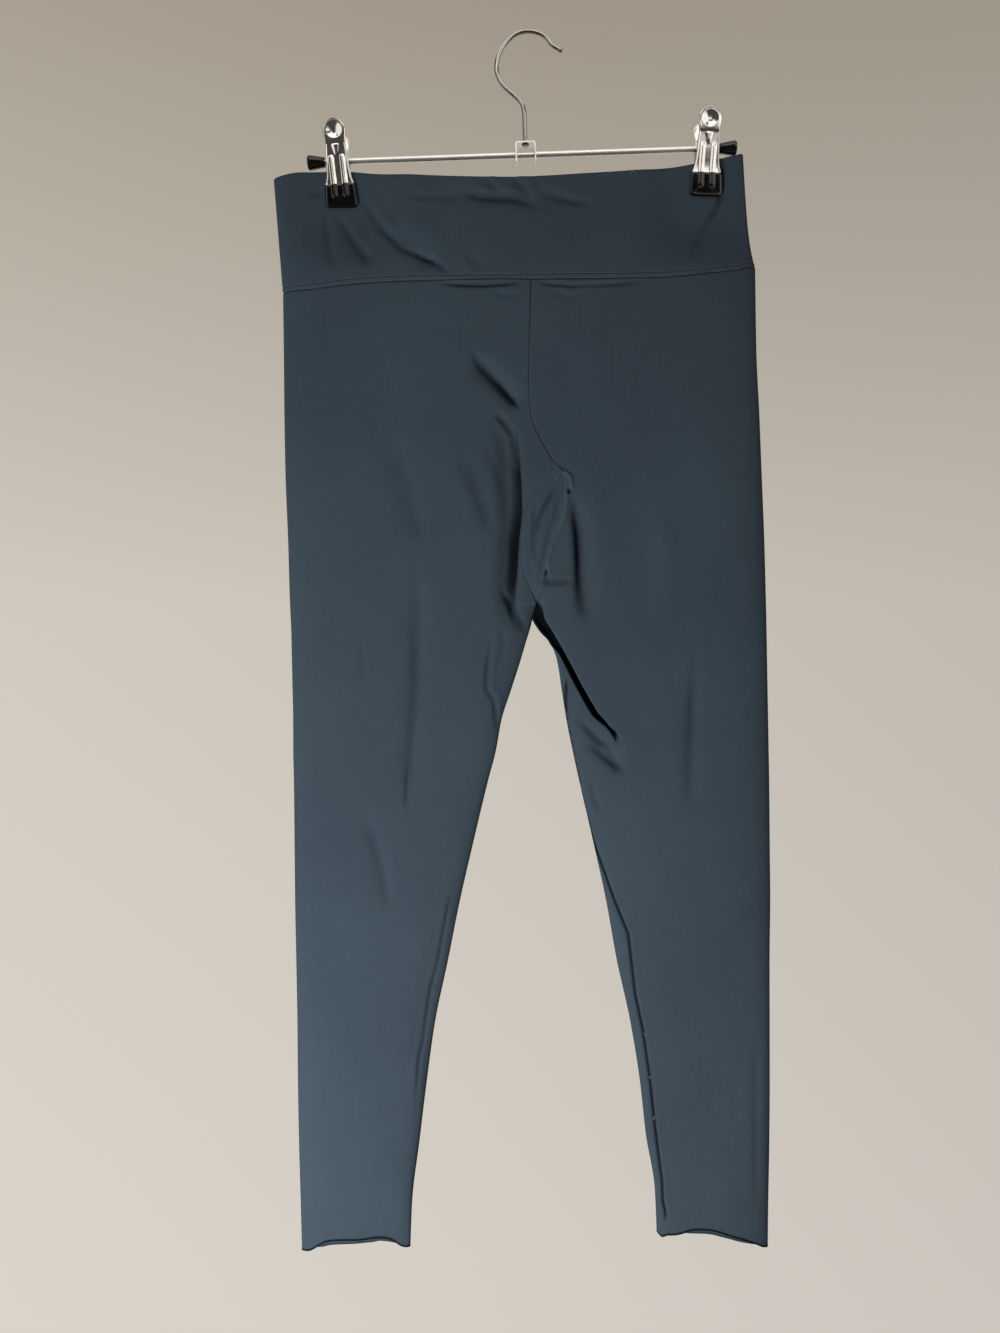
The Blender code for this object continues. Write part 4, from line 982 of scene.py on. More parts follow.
def leg_relief(side, leg):
    """Heights along the normals from the creases, unevenness, the sewn grooves, the gusset's ridge, and the
    lump and the hole at its apex; and the painted shade: darker in the creases, grooves, hole and gap, and
    along the cut edge, where the inside shows past it, and lighter as a painted highlight on the ridge and
    lump."""
    front = leg.is_front
    fine, painted_shade = fine_creases(front, leg.x, leg.drop)
    fine = fine + slow_unevenness(leg.x, leg.drop, 0.7 * side + np.where(front, 0, 2))
    centre_groove = bell(leg.inset / CENTRE_GROOVE_WIDTH) * (leg.level < APEX_DROP)
    waist_groove = bell((leg.level - SEAM_LEVEL) / WAIST_GROOVE_WIDTH)
    ridge = gusset_ridge(leg.inset, leg.level) * (side > 0)
    groove, dark = inseam_relief(side, leg.x, leg.drop)
    lump, hole = apex_relief(leg.x, leg.drop)
    fine = fine - CENTRE_GROOVE * centre_groove - WAIST_GROOVE * waist_groove
    fine = fine + (ridge + groove + lump) * front
    # Painted shade in the grooves, the inseam, the creases and the apex hole; painted highlight on ridge and
    # lump.
    shade = painted_shade + CENTRE_GROOVE_SHADE * centre_groove + WAIST_GROOVE_SHADE * waist_groove
    shade = shade + (dark - RIDGE_LIGHT * ridge + hole - LUMP_LIGHT * lump) * front
    # Painted shade along the cut edge, strong in front and light behind, and a little on the back near its
    # hem.
    shade = shade + np.where(front, 1.0, 0.3) * ease(leg.level, HEM_LEVEL - 2.2, HEM_LEVEL - 0.9)
    shade = shade + 0.16 * ~front * ease(leg.level, HEM_LEVEL - 16, HEM_LEVEL - 10)
    return fine, shade + (pocket_shade(leg) if side > 0 else 0)


print("darkest shade of the left leg:", round(float(leg_relief(-1, leg_form(-1))[1].max()), 2))

# %% The two leg panels
ALLOWANCE_DEPTH, ALLOWANCE_HEIGHT = 2.4, 6.0


def leg_grid(side):
    """A leg's outer face and its painted shade: its form moved along its normals by the relief, which
    calms down towards the fork, with a curled hem and with the seam allowance above that the band covers."""
    leg, order = leg_form(side), slice(None, None, side)
    normals = normals_of(leg.points[:, order], leg.level[..., None] > FORK_DROP + 1)[:, order]
    fine, shade = leg_relief(side, leg)
    at_fork = ease(leg.level, FORK_DROP - FORK_CALM, FORK_DROP) * (1 - ease(leg.inset, 0, 3))
    calm = np.minimum(1, leg.fullness) * (1 - at_fork)
    points = leg.points + normals * (fine * calm)[..., None]
    amount = 0.2 + 0.15 * np.sin(9 * leg.share + side) + np.where(leg.is_front, 0.0, 0.2)
    amount = amount * ease(leg.inset, 0, 8) * ease(leg.width - leg.inset, 0, 8)
    points = curl_hem(points, normals, leg.level, amount)
    allowance = points[:1] - normals[:1] * ALLOWANCE_DEPTH
    above = allowance + np.array([0, 0, ALLOWANCE_HEIGHT])
    grid = np.concatenate([above, allowance, points])[:, order]
    shade = np.concatenate([shade[:1], shade[:1], shade])[:, order]
    return grid, np.clip(shade, *SHADE_RANGE)


legs, leg_grids = {}, {}
for side, name in SIDE_NAMES.items():
    leg_grids[side], leg_shade = leg_grid(side)
    legs[side] = piece_of(f"knit_leg_{name}", [leg_grids[side]], jersey, wall=LEG_WALL, shade=leg_shade)
    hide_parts(f"leg_panel_{name}")

# %% [markdown]
# ## Waistband
#
# The band is one wide strip folded double along its top edge, so it has no raw edge up there and stands
# twice as thick as the legs. Here its section is one closed loop: the outer face, the seam at the bottom,
# the inner face and the rounded fold at the top. The clips pinch it nearly flat.

# %% The waistband
BAND_THICK = 2.0
BAND_FACE_COUNTS = (140, 96)
ROW_HEIGHTS = np.array([0, 0.3, 0.7, 1.1, 1.6, 2.2, 2.9, 3.5, 4.1, 4.5, 5.0, 5.6, 6.4, 7.6, 9.4, 12])
STITCH_ROWS = (2, 9)
BAND_UPPER_ROWS, INNER_ROW_STEP = 34, 3
JAW_EDGES, JAW_ENDS = (11, 13), (143, 150)


def spread(count):
    """Shares across a face, closer together near both edges: part cosine, part even."""
    t = np.linspace(0, 1, count)
    return 0.6 * (1 - np.cos(math.pi * t)) / 2 + 0.4 * t


def clip_pinch(x, drop):
    """How strongly the two clips hold the band flat, and 1 where a jaw covers it."""
    pinch, under_jaw = 0 * x, 0 * x
    for clip in CLIP_CENTRES:
        beside = np.abs(x - clip)
        under_jaw = under_jaw + (1 - ease(beside, *JAW_EDGES)) * (1 - ease(drop, *JAW_ENDS))
        held = 1 - ease(beside, PINCH_HALF_WIDTH, PINCH_HALF_WIDTH + PINCH_FADE)
        pinch = pinch + held * (1 - ease(drop, PINCH_BOTTOM, PINCH_BOTTOM + PINCH_BOTTOM_FADE))
    return pinch, under_jaw


def sewn_relief(rows_up):
    """Two grooves pulled in by the needle rows, the puff between them and the groove of the seam itself,
    by the height above the seam; and how sewn each place is."""
    first, second = ROW_HEIGHTS[list(STITCH_ROWS)]
    sewn = bell((rows_up - first) / 0.6) + bell((rows_up - second) / 0.6)
    puff = bell((rows_up - (first + second) / 2) / 0.9)
    return 0.25 * puff - 0.4 * sewn - 0.4 * bell(rows_up / 0.5), sewn


def band_grid():
    """The band as one closed loop of section carried round the waist; returns it and its outer face."""
    front, back = [spread(count) for count in BAND_FACE_COUNTS]
    across = np.concatenate([front, back[::-1][1:]])[None, :]
    is_front = (np.arange(across.shape[1]) < len(front))[None, :]
    top, seam = band("top_drop", across) + BAND_THICK / 2, band("seam_drop", across) - 0.1
    height = seam - top
    upper = np.linspace(0, 1, BAND_UPPER_ROWS + 1)[:-1][:, None] ** 0.9 * (1 - ROW_HEIGHTS[-1] / height)
    fall = np.concatenate([upper, 1 - ROW_HEIGHTS[::-1][:, None] / height])
    flare = (1 - BAND_FLARE_SHARE) * fall + BAND_FLARE_SHARE * fall**BAND_FLARE_POWER
    left = BAND_TOP_LEFT + (WAIST_LEFT - BAND_TOP_LEFT) * fall
    right = BAND_TOP_RIGHT + (WAIST_RIGHT - BAND_TOP_RIGHT) * flare
    x, drop = left + (right - left) * across, top + height * fall
    reach = EDGE_ROUNDING * (right - left) / 2
    ends = np.sqrt(np.maximum((1 - np.exp((left - x) / reach)) * (1 - np.exp((x - right) / reach)), 0))
    mouth = BAND_MOUTH_DEPTH + (section("depth", SEAM_LEVEL) - BAND_MOUTH_DEPTH) * ease(fall, 0, 1)
    depth = mouth * ends - broad_troughs(is_front, x, drop) * ends**2
    pinch, under_jaw = clip_pinch(x, drop)
    depth = depth + (np.minimum(depth, PINCH_DEPTH) - depth) * pinch
    points = np.stack([x, np.where(is_front, -depth, depth), -drop], axis=-1)
    normals = normals_of(points, True)
    fine, painted_shade = fine_creases(is_front, x, drop)
    fine = (fine + 0.6 * slow_unevenness(x, drop, 1.1) * (1 - pinch)) * (1 - under_jaw) * ends
    pulled, sewn = sewn_relief(seam - drop)
    outside = points + normals * (fine + pulled)[..., None]
    inside = outside[::-INNER_ROW_STEP] - normals[::-INNER_ROW_STEP] * BAND_THICK
    up = unit(outside[:1] - outside[1:2])
    angle = np.radians(np.array([150, 120, 90, 60, 30]))[:, None, None]
    turned = normals[:1] * np.cos(angle) + up * np.sin(angle)
    fold = outside[:1] - normals[:1] * BAND_THICK / 2 + turned * BAND_THICK / 2
    loop = np.concatenate([fold, outside, inside, fold[:1]])
    # Painted shade in the needle rows' grooves and in the creases; the fold and the inside get none.
    shade = np.concatenate([0 * x[: len(fold)], 0.5 * sewn + painted_shade, 0 * inside[..., 0], 0 * x[:1]])
    return loop, outside, normals, np.clip(shade, 0, 1)


band_loop, band_face, band_normals, band_shade = band_grid()
waistband = piece_of("knit_waistband", [band_loop], jersey, shade=band_shade)
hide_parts("waistband")

# %% [markdown]
# ## Gusset
#
# A kite of the same jersey is let in at the crotch so that the four seams don't meet in one hard point.
# It is folded from front to back under the fork. Its right edge stands up as a fine ridge, because the
# allowances of two seams lie under it there.

# %% The gusset
GUSSET_COLUMNS, GUSSET_RELIEF, GUSSET_SAG = 30, 0.9, 2.0
GUSSET_CREASES = (
    (((27, 374), (17, 388), (9, 404), (5, 424)), 2.0, 2.2, 0.8),
    (((6, 384), (4, 418), (7, 450)), 2.8, 1.5, -0.5),
    (((21, 404), (15, 426), (8, 456)), 1.8, 1.5, 0.7),
    (((-3, 392), (-1, 425), (4, 460)), 2.6, 0.9, 0.2),
    (((26, 390), (22, 404), (18, 416)), 1.6, 1.0, -0.5),
)


def gusset_grid():
    """A kite: x runs between its two seams, and the bulge is sin(pi share) sin(pi along)."""
    front = gusset_levels()
    level = np.concatenate([front, [FORK_DROP + 0.6 * GUSSET_SAG, FORK_DROP + GUSSET_SAG]])
    level = np.concatenate([level, level[-2::-1]])[:, None]
    way = np.concatenate([-np.ones(len(front)), [-0.75, 0.0, 0.75], np.ones(len(front))])[:, None]
    is_front, held = way < 0, np.minimum(level, FORK_DROP)
    left, right = centre("left_edge", held), centre("right_edge", held)
    share = np.linspace(0, 1, GUSSET_COLUMNS)[None, :]
    x = left + (right - left) * share
    fullness = np.sqrt(1 - np.exp(-edge_openness(held)))
    depth = section("depth", held) * fullness
    along = (held - APEX_DROP) / (FORK_DROP - APEX_DROP)
    bulge = GUSSET_RELIEF * np.sin(math.pi * share) * np.sin(math.pi * along)
    ridge = gusset_ridge((1 - share) * (right - left), held) * is_front
    crumple, painted_shade = fine_creases(is_front, x, level)
    inside = np.sin(math.pi * share) ** 0.7
    own, own_painted_shade = [value * inside * is_front for value in crease_height(x, level, GUSSET_CREASES)]
    uneven = [slow_unevenness(x, level, side * 0.7 + np.where(is_front, 0, 2)) for side in SIDE_NAMES]
    lump, hole = [value * is_front for value in apex_relief(x, level)]
    at_seams = fullness * (1 - ease(held, FORK_DROP - FORK_CALM, FORK_DROP))
    calm = at_seams + (np.minimum(1, depth / 6) - at_seams) * inside
    crumple = (crumple + own + lump + uneven[0] + (uneven[1] - uneven[0]) * share) * calm
    relief = bulge + ridge + crumple - broad_troughs(is_front, x, level) * fullness**2
    y = section("left_sway", held) + way * (depth + relief)
    # Painted shade in the creases and the apex hole, painted highlight on the ridge and the lump.
    shade = np.maximum(painted_shade, own_painted_shade) + hole - RIDGE_LIGHT * ridge - LUMP_LIGHT * lump
    return np.stack(np.broadcast_arrays(x, y, -level), axis=-1), np.clip(shade, *SHADE_RANGE)


gusset_points, gusset_shade = gusset_grid()
gusset = piece_of("knit_gusset", [gusset_points], jersey, wall=LEG_WALL, shade=gusset_shade)
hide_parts("gusset")

# %% [markdown]
# ## Sewing
#
# Two needle rows of a coverstitch run round the waist seam. A line of thread drawn in the material would
# have no shadow, so every stitch is a small spindle of its own: a profile of radii carried along the
# row's direction. They lie in the grooves that the tight thread pulls into the band.

# %% Stitches
STITCH_PITCH, STITCH_LENGTH, STITCH_RADIUS, STITCH_LIFT = 2.7, 2.1, 0.27, 0.12
SPINDLE = np.array([(-1.0, 0.0), (-0.82, 0.7), (0.0, 1.0), (0.82, 0.7), (1.0, 0.0)])


def read_along(values, run, at):
    """Each coordinate of a line's values, read at distances along it."""
    return np.stack([np.interp(at, run, coordinate) for coordinate in values.T], axis=-1)


def spindles(points, normals):
    """A grid for each stitch along a row: place + direction t L/2 + r(t) (cos a side + sin a normal)."""
    run = run_length(points[None], 1)[0]
    at = np.arange(STITCH_PITCH / 2, run[-1], STITCH_PITCH)
    ahead = unit(read_along(np.gradient(points, axis=0), run, at))
    up = unit(read_along(normals, run, at))
    places = read_along(points, run, at) + up * STITCH_LIFT
    side = unit(np.cross(ahead, up))
    places, ahead, up, side = [line[:, None, None] for line in (places, ahead, up, side)]
    angle = np.linspace(0, 2 * math.pi, 7)[None, None, :, None]
    t, r = SPINDLE.T[:, None, :, None, None]
    ring = np.cos(angle) * side + np.sin(angle) * up
    return places + ahead * t * STITCH_LENGTH / 2 + ring * (r * STITCH_RADIUS)


waist_rows = [spindles(band_face[-1 - row], band_normals[-1 - row]) for row in STITCH_ROWS]
waist_stitches = piece_of("waist_coverstitch", [stitch for row in waist_rows for stitch in row], thread)

# %% [markdown]
# ## Loose ends
#
# Where the inseam was mended or started anew, the thread was tied off. Each knot is a tube carried along
# a small tangled loop. A stray end also curls from the top of the band.

# %% Knots and a stray end


def tube(path, radius, sides=8, square_to=(0, 1, 0)):
    """A circle carried along a path: centre + r (cos a side + sin a up), with closed ends."""
    path, radius = np.asarray(path, float), np.broadcast_to(radius, len(path)).astype(float)
    path, radius = np.concatenate([path[:1], path, path[-1:]]), np.concatenate([[0], radius, [0]])
    ahead = unit(np.gradient(path[1:-1], axis=0))
    ahead = np.concatenate([ahead[:1], ahead, ahead[-1:]])
    side = unit(np.cross(ahead, np.array(square_to, float)))
    up = np.cross(side, ahead)
    angle = np.linspace(0, 2 * math.pi, sides + 1)[None, :, None]
    ring = np.cos(angle) * side[:, None] + np.sin(angle) * up[:, None]
    return path[:, None] + radius[:, None, None] * ring


def knot_path(at, size, turn):
    """A three-lobed loop, r = size (0.6 + 0.4 cos 3a), with two short tails."""
    a = np.linspace(0, 2 * math.pi, 40)
    r = size * (0.6 + 0.4 * np.cos(3 * a))
    loop = np.stack([r * np.cos(a + turn), -0.5 - 0.35 * np.cos(2 * a), r * np.sin(a + turn)], axis=-1)
    tail = np.array([math.cos(turn), -0.3, math.sin(turn)]) * np.linspace(1, 2.3, 8)[:, None] * size
    tail[:, 2] += 0.5 * size * np.sin(np.linspace(0, 3, 8))
    return np.asarray(at) + np.concatenate([loop, tail])


def on_right_leg(x, drop):
    """The point of the right leg's front nearest to a place given by x and drop."""
    grid = leg_grids[1]
    behind = grid[..., 1] >= section("right_sway", drop)
    away = np.hypot(grid[..., 0] - x, grid[..., 2] + drop) + 1e3 * behind
    return grid[np.unravel_index(np.argmin(away), away.shape)]


# Each knot: the x and drop of its place, its size and its turn.
KNOTS = ((79.2, 757.7, 0.9, 0.4), (96.4, 828.1, 1.1, 2.2), (104.6, 898.6, 1.0, 4.1), (100.7, 866.0, 0.7, 1.1))
KNOT_THREAD, STRAY_THREAD = 0.28, 0.22
knot_paths = [knot_path(on_right_leg(x, drop), size, turn) for x, drop, size, turn in KNOTS]
knots = piece_of("inseam_knots", [tube(path, KNOT_THREAD) for path in knot_paths], thread)

STRAY_START = np.array([88.2, -8.4, -120.2])
STRAY_BENDS = (
    (0, 0, -1), (-0.6, -0.3, 0.6), (-2, -0.6, 1.6), (-3.4, -0.8, 1.4), (-4, -0.9, 0), (-3.2, -1, -1.6),
)
stray_end = piece_of("stray_thread", [tube(STRAY_START + np.array(STRAY_BENDS), STRAY_THREAD)], thread)

# %% [markdown]
# ## The hanger's frame
#
# The hanger tips two degrees to the left under its load. Its pieces are worked out upright and then
# turned about the hook's crown by one function, and each clip is first turned by its own lean.

# %% Hanger sizes
HANGER_TILT = math.radians(-2.0)
WIRE, STEM_X = 1.9, -5.4
BAR_Z, BAR_CENTRE_X, BAR_LENGTH = -101.0, -8.5, 346.0
YOKE_TOP, STRAP, RUNNING_GAP = 9.8, 1.2, 0.3
CLIP_X = {"left": -161.2, "right": 144.9}
CLIP_LEANS = {"left": math.radians(-3.5), "right": math.radians(4.5)}
CLIP_RISE = {"left": 1.4, "right": 0.3}
CLIP_PARTS = [(side, *face) for side in CLIP_X for face in (("front", -1), ("back", 1))]


def tipped(points, angle):
    """Points turned about the Y axis."""
    c, s = math.cos(angle), math.sin(angle)
    x, y, z = np.moveaxis(np.asarray(points, float), -1, 0)
    return np.stack([c * x + s * z, y, c * z - s * x], axis=-1)


def on_hanger(points):
    """Points of the hanger, turned about the hook's crown."""
    return tipped(points, HANGER_TILT)


def on_clip(points, side, rise=0.0):
    """Points of a clip, turned by its lean about the bar and set in its place on the hanger."""
    return on_hanger(tipped(points, CLIP_LEANS[side]) + np.array([CLIP_X[side], 0, BAR_Z + rise]))


print("left clip's pivot:", np.round(on_clip([(0, 0, 0)], "left")[0], 1).tolist())

# %% [markdown]
# ## Hook
#
# A cold-bent chromed wire with a ball formed on its tip, and a collar and a rivet head that let it swivel
# in the yoke. A bevelled curve object would do. The wire is a tube of numpy rings instead, whose radius
# swells into the ball, and the collar is a lathe profile.

# %% Hook, collar and rivet
HOOK_BENDS = (
    (24.2, -13.6), (19.4, -10.9), (16.4, -5.0), (9.9, 0.2), (0.3, 2.4), (-9.6, 0.9), (-18.2, -6.0),
    (-24.4, -14.6), (-27.4, -24.4), (-27.2, -33.2), (-23.6, -41.2), (-16.0, -49.0), (-7.6, -56.0),
    (-5.3, -63.4), (-5.4, -72.0),
)
BALL_RADIUS, STEM_START = 2.3, -74.0
COLLAR = ((0, 0), (0, 3.1), (0.3, 3.4), (1.5, 3.4), (1.8, 3.1), (1.8, 0))
RIVET_HEAD = ((0, 0), (0, 3.0), (0.2, 3.1), (0.7, 2.8), (1.2, 2.0), (1.45, 1.0), (1.5, 0))


def smooth_bends(points, steps):
    """A uniform cubic B-spline through a run of control points, reaching its first and last one."""
    held = np.array([2 * points[0] - points[1], *points, 2 * points[-1] - points[-2]])
    t = np.arange(steps)[:, None] / steps
    weights = ((1 - t) ** 3, 3 * t**3 - 6 * t**2 + 4, -3 * t**3 + 3 * t**2 + 3 * t + 1, t**3)
    runs = [sum(w * held[i + k] for k, w in enumerate(weights)) / 6 for i in range(len(points) - 1)]
    return np.concatenate([*runs, points[-1:]])


def lathe(profile, at, axis, steps=48):
    """A closed turned form: each (along, radius) carried round the axis, along X or down Z."""
    along, radius = np.array(profile, float).T
    angle = np.linspace(0, 2 * math.pi, steps + 1)
    level = along[:, None] + 0 * angle
    c, s = radius[:, None] * np.cos(angle), radius[:, None] * np.sin(angle)
    order = (c, s, -level) if axis == "Z" else (level, -c, s)
    return np.asarray(at) + np.stack(order, axis=-1)


def hook_grids():
    """The wire, which swells into the ball as sqrt(R² - (s - R)²), with its collar and its rivet head."""
    line = smooth_bends(np.array(HOOK_BENDS), 8)
    stem_end = BAR_Z + YOKE_TOP - STRAP - RUNNING_GAP
    line = np.concatenate([line, [(STEM_X, z) for z in np.linspace(STEM_START, stem_end, 6)]])
    beyond = np.linspace(2 * BALL_RADIUS - 0.15, 0.15, 14)
    ball = line[0] + unit(line[0] - line[1]) * beyond[:, None]
    swell = np.sqrt(np.maximum(BALL_RADIUS**2 - (beyond - BALL_RADIUS) ** 2, 0))
    swell = np.where(beyond < BALL_RADIUS, np.maximum(swell, WIRE), swell)
    x, z = np.concatenate([ball, line]).T
    wire = tube(np.stack([x, 0 * x, z], axis=-1), np.concatenate([swell, np.full(len(line), WIRE)]), 24)
    upwards = [(-along, radius) for along, radius in COLLAR[::-1]]
    collar = lathe(upwards, (STEM_X, 0, BAR_Z + YOKE_TOP + RUNNING_GAP), "Z")
    return [wire, collar, lathe(RIVET_HEAD, (STEM_X, 0, stem_end + 0.1), "Z")]


hook = piece_of("hook_wire", [on_hanger(grid) for grid in hook_grids()], bright_wire, smooth_angle=40)
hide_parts("hook")

# %% [markdown]
# ## Clips: pressed jaws
#
# A jaw is stamped from 1 mm steel as a channel: its sides are turned in, its head is a round thumb pad
# with a dish pressed into it, below that a step and a tongue, and two long ribs stiffen it down to the tip.
# One grid does it all: the channel's section goes one way and its height the other, and the dish, the step,
# the tongue and the ribs are added to the face as heights. Solidify then gives it the sheet's thickness.

# %% Jaws
JAW_COLUMNS = ("height", "half_width", "stand_off", "flange")
JAW = (
    (-23.6, 12.0, 4.9, 1.2),
    (-21.4, 11.8, 5.0, 1.5),
    (-16.0, 10.4, 5.6, 2.0),
    (-10.0, 9.6, 6.8, 2.8),
    (-4.0, 9.2, 8.0, 5.0),
    (0.0, 9.1, 8.6, 5.3),
    (4.0, 8.9, 9.2, 5.2),
    (9.0, 8.5, 10.0, 2.8),
    (13.0, 8.8, 10.8, 1.8),
    (17.5, 9.5, 11.4, 1.5),
    (21.5, 9.5, 11.9, 1.4),
    (28.6, 9.5, 12.6, 1.4),
)
HEAD_CENTRE, HEAD_RADIUS = 19.0, 9.5
DISH_CENTRE, DISH_RADIUS, DISH_DEPTH = 19.4, 6.5, 1.15
RIB_X, RIB_HALF_WIDTH, RIB_HEIGHT, RIB_RIDGE, RIB_TOP = 4.6, 2.3, 1.25, 0.2, 1.0
STEP_DEPTH, STEP_EDGES = 0.6, (9.4, 10.8)
TONGUE_HEIGHT, TONGUE_RISES, TONGUE_FALLS = 0.5, (-1.0, 4.0), (8.0, 9.6)
JAW_BEND, JAW_SHEET = 1.1, 0.9


def jaw_at(wanted, height):
    """A size of the jaw at a height over the bar."""
    return from_table(JAW, JAW_COLUMNS, wanted, height)


def rib_height(x, height):
    """Two ribs below the tongue, with straight flanks and a round ridge: sqrt(1 + r²) - sqrt(u² + r²)."""
    u = (np.abs(x) - RIB_X) / RIB_HALF_WIDTH
    across = np.maximum(math.sqrt(1 + RIB_RIDGE**2) - np.sqrt(u**2 + RIB_RIDGE**2), 0)
    return RIB_HEIGHT * across * ease(-height, -RIB_TOP, 3.0 - RIB_TOP)


def pressed_forms(x, height):
    """What is pressed into the face: the dish with its rim, the step, the tongue and the ribs."""
    away = np.hypot(x, height - DISH_CENTRE)
    dish = -DISH_DEPTH * np.maximum(1 - (away / DISH_RADIUS) ** 2, 0) ** 1.3
    rim = 0.1 * bell((away - DISH_RADIUS - 0.7) / 0.6)
    step = -STEP_DEPTH * (1 - ease(height, *STEP_EDGES))
    tongue = TONGUE_HEIGHT * np.exp(-((x / (1.0 + 0.22 * np.maximum(height, 0))) ** 4))
    tongue = tongue * ease(height, *TONGUE_RISES) * (1 - ease(height, *TONGUE_FALLS))
    return dish + rim + step + tongue + rib_height(x, height)


def jaw_grid(facing):
    """Flange, bend, face, bend and flange of the channel at each height, with the pressed forms on it."""
    low = np.linspace(JAW[0][0], HEAD_CENTRE, 72)
    round_top = HEAD_CENTRE + HEAD_RADIUS * np.sin(np.linspace(0, math.pi / 2, 22)[1:])
    height = np.concatenate([low, round_top])[:, None]
    head = np.sqrt(np.maximum(HEAD_RADIUS**2 - (height - HEAD_CENTRE) ** 2, 0.09))
    half = np.where(height > HEAD_CENTRE, head, jaw_at("half_width", height))
    bend = np.minimum(JAW_BEND, 0.4 * half)
    flange = np.maximum(jaw_at("flange", height), bend + 0.1)
    corner = np.radians(np.linspace(0, 90, 7))[None, 1:]
    side_x = np.concatenate([np.repeat(-half, 3, axis=1), -half + bend * (1 - np.cos(corner))], axis=1)
    straight = bend + (flange - bend) * np.array([[1.0, 0.6, 0.0]])
    side_in = np.concatenate([straight, bend * (1 - np.sin(corner))], axis=1)
    face_x = (-half + bend) * (1 - 2 * np.linspace(0, 1, 46)[None, 1:-1])
    x = np.concatenate([side_x, face_x, -side_x[:, ::-1]], axis=1)
    inward = np.concatenate([side_in, 0 * face_x, side_in[:, ::-1]], axis=1)
    pressed = pressed_forms(x, height) * ease(half - np.abs(x), 0.2, 1.6)
    y = facing * (jaw_at("stand_off", height) - inward + pressed)
    grid = np.stack(np.broadcast_arrays(x, y, height), axis=-1)
    return grid[::-1, ::-1] if facing > 0 else grid[::-1]


for side, place, facing in CLIP_PARTS:
    grid = on_clip(jaw_grid(facing), side, CLIP_RISE[side])
    jaw = piece_of(f"pressed_jaw_{side}_{place}", [grid], chrome, wall=JAW_SHEET)
    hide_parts(f"clip_{side}_jaw_{place}")

# %% [markdown]
# ## Clips: dipped tips
#
# The vinyl follows the steel under it, so the two ribs still show through it and fade out half way down.
# A tip is a pillow: an outline drawn in towards its middle on both faces, with the rims rounded.

# %% Tips
TIP_TOP, TIP_BOTTOM, TIP_THICKNESS = -21.8, -41.7, 3.2
TIP_WIDTH_TOP, TIP_WIDTH_BOTTOM, TIP_CORNER_TOP, TIP_CORNER_BOTTOM = 25.0, 27.6, 2.0, 4.6
TIP_SLANT = {"left": 0.08, "right": 0.0}
PINCH_GAP = PINCH_DEPTH + 0.3


def rounded_outline(count):
    """Even points round a trapezium, whose corners are parabolas: (1-t)² start + 2t(1-t) at + t² end."""
    top, bottom = (TIP_WIDTH_TOP / 2, TIP_TOP), (TIP_WIDTH_BOTTOM / 2, TIP_BOTTOM)
    corners = np.array([(-top[0], top[1]), (-bottom[0], bottom[1]), bottom, top])
    reaches = (TIP_CORNER_TOP, TIP_CORNER_BOTTOM, TIP_CORNER_BOTTOM, TIP_CORNER_TOP)
    t = np.linspace(0, 1, 9)[:, None]
    ring = []
    for at, before, after, reach in zip(corners, np.roll(corners, 1, 0), np.roll(corners, -1, 0), reaches):
        start, end = at + unit(before - at) * reach, at + unit(after - at) * reach
        ring.append((1 - t) ** 2 * start + 2 * t * (1 - t) * at + t**2 * end)
    ring = np.concatenate([*ring, ring[0][:1]])
    run = run_length(ring[None], 1)[0]
    return read_along(ring, run, np.linspace(0, run[-1], count + 1))


def tip_grid(facing, slant):
    """The outline scaled towards its middle, and y = half thickness (1 - s^18)^(1/2) on each face. The dip's
    level line cuts the tip at a slant where the jaw leans."""
    ring = rounded_outline(112)
    middle = (TIP_TOP + TIP_BOTTOM) / 2
    scale = 1 - np.linspace(1, 0, 26) ** 1.6
    swell = np.sqrt(1 - scale**18)
    s = np.concatenate([scale, [1.0], scale[::-1]])[:, None]
    swell = np.concatenate([swell, [0.0], -swell[::-1]])[:, None]
    x, z = ring[:, 0] * s, middle + (ring[:, 1] - middle) * s
    ribs = 1.1 * rib_height(x, z) * (1 - ease(-z, 30.5, 35.0)) * (swell > 0)
    z = z - slant * x * ease(-z, 30.0, 41.0)
    y = TIP_THICKNESS / 2 * swell + ribs
    grid = np.stack([x, facing * (PINCH_GAP + TIP_THICKNESS / 2 + y), z], axis=-1)
    return grid if facing < 0 else grid[:, ::-1]


for side, place, facing in CLIP_PARTS:
    grid = on_clip(tip_grid(facing, TIP_SLANT[side]), side, CLIP_RISE[side])
    tip = piece_of(f"dipped_tip_{side}_{place}", [grid], vinyl)
    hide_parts(f"clip_{side}_tip_{place}")

# %% [markdown]
# ## Clips: springs and end caps
#
# A torsion spring is a wire wound round the bar with a straight leg at each end. The helix is a formula,
# so its path is written down directly. The end caps are turned vinyl with a soft edge.

# %% Springs and end caps
COIL_RADIUS, COIL_WIRE, COIL_TURNS, COIL_LENGTH = 3.9, 0.62, 8, 11.0


def spring_path():
    """(pitch a, R cos a, R sin a) round the bar, with two straight legs along the last directions."""
    a = np.linspace(0, 2 * math.pi * COIL_TURNS, 24 * COIL_TURNS + 1)
    x = COIL_LENGTH * (a / a[-1] - 0.5)
    helix = np.stack([x, -COIL_RADIUS * np.cos(a), COIL_RADIUS * np.sin(a)], axis=-1)
    reach = np.linspace(9, 1, 6)[:, None]
    first, last = unit(helix[0] - helix[1]), unit(helix[-1] - helix[-2])
    return np.concatenate([helix[0] + first * reach, helix, helix[-1] + last * reach[::-1]])


for side in CLIP_X:
    coil = tube(spring_path(), COIL_WIRE, square_to=(1, 0, 0))
    spring = piece_of(f"coil_spring_{side}", [on_clip(tipped(coil, -CLIP_LEANS[side]), side)], chrome)
    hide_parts(f"clip_{side}_spring")

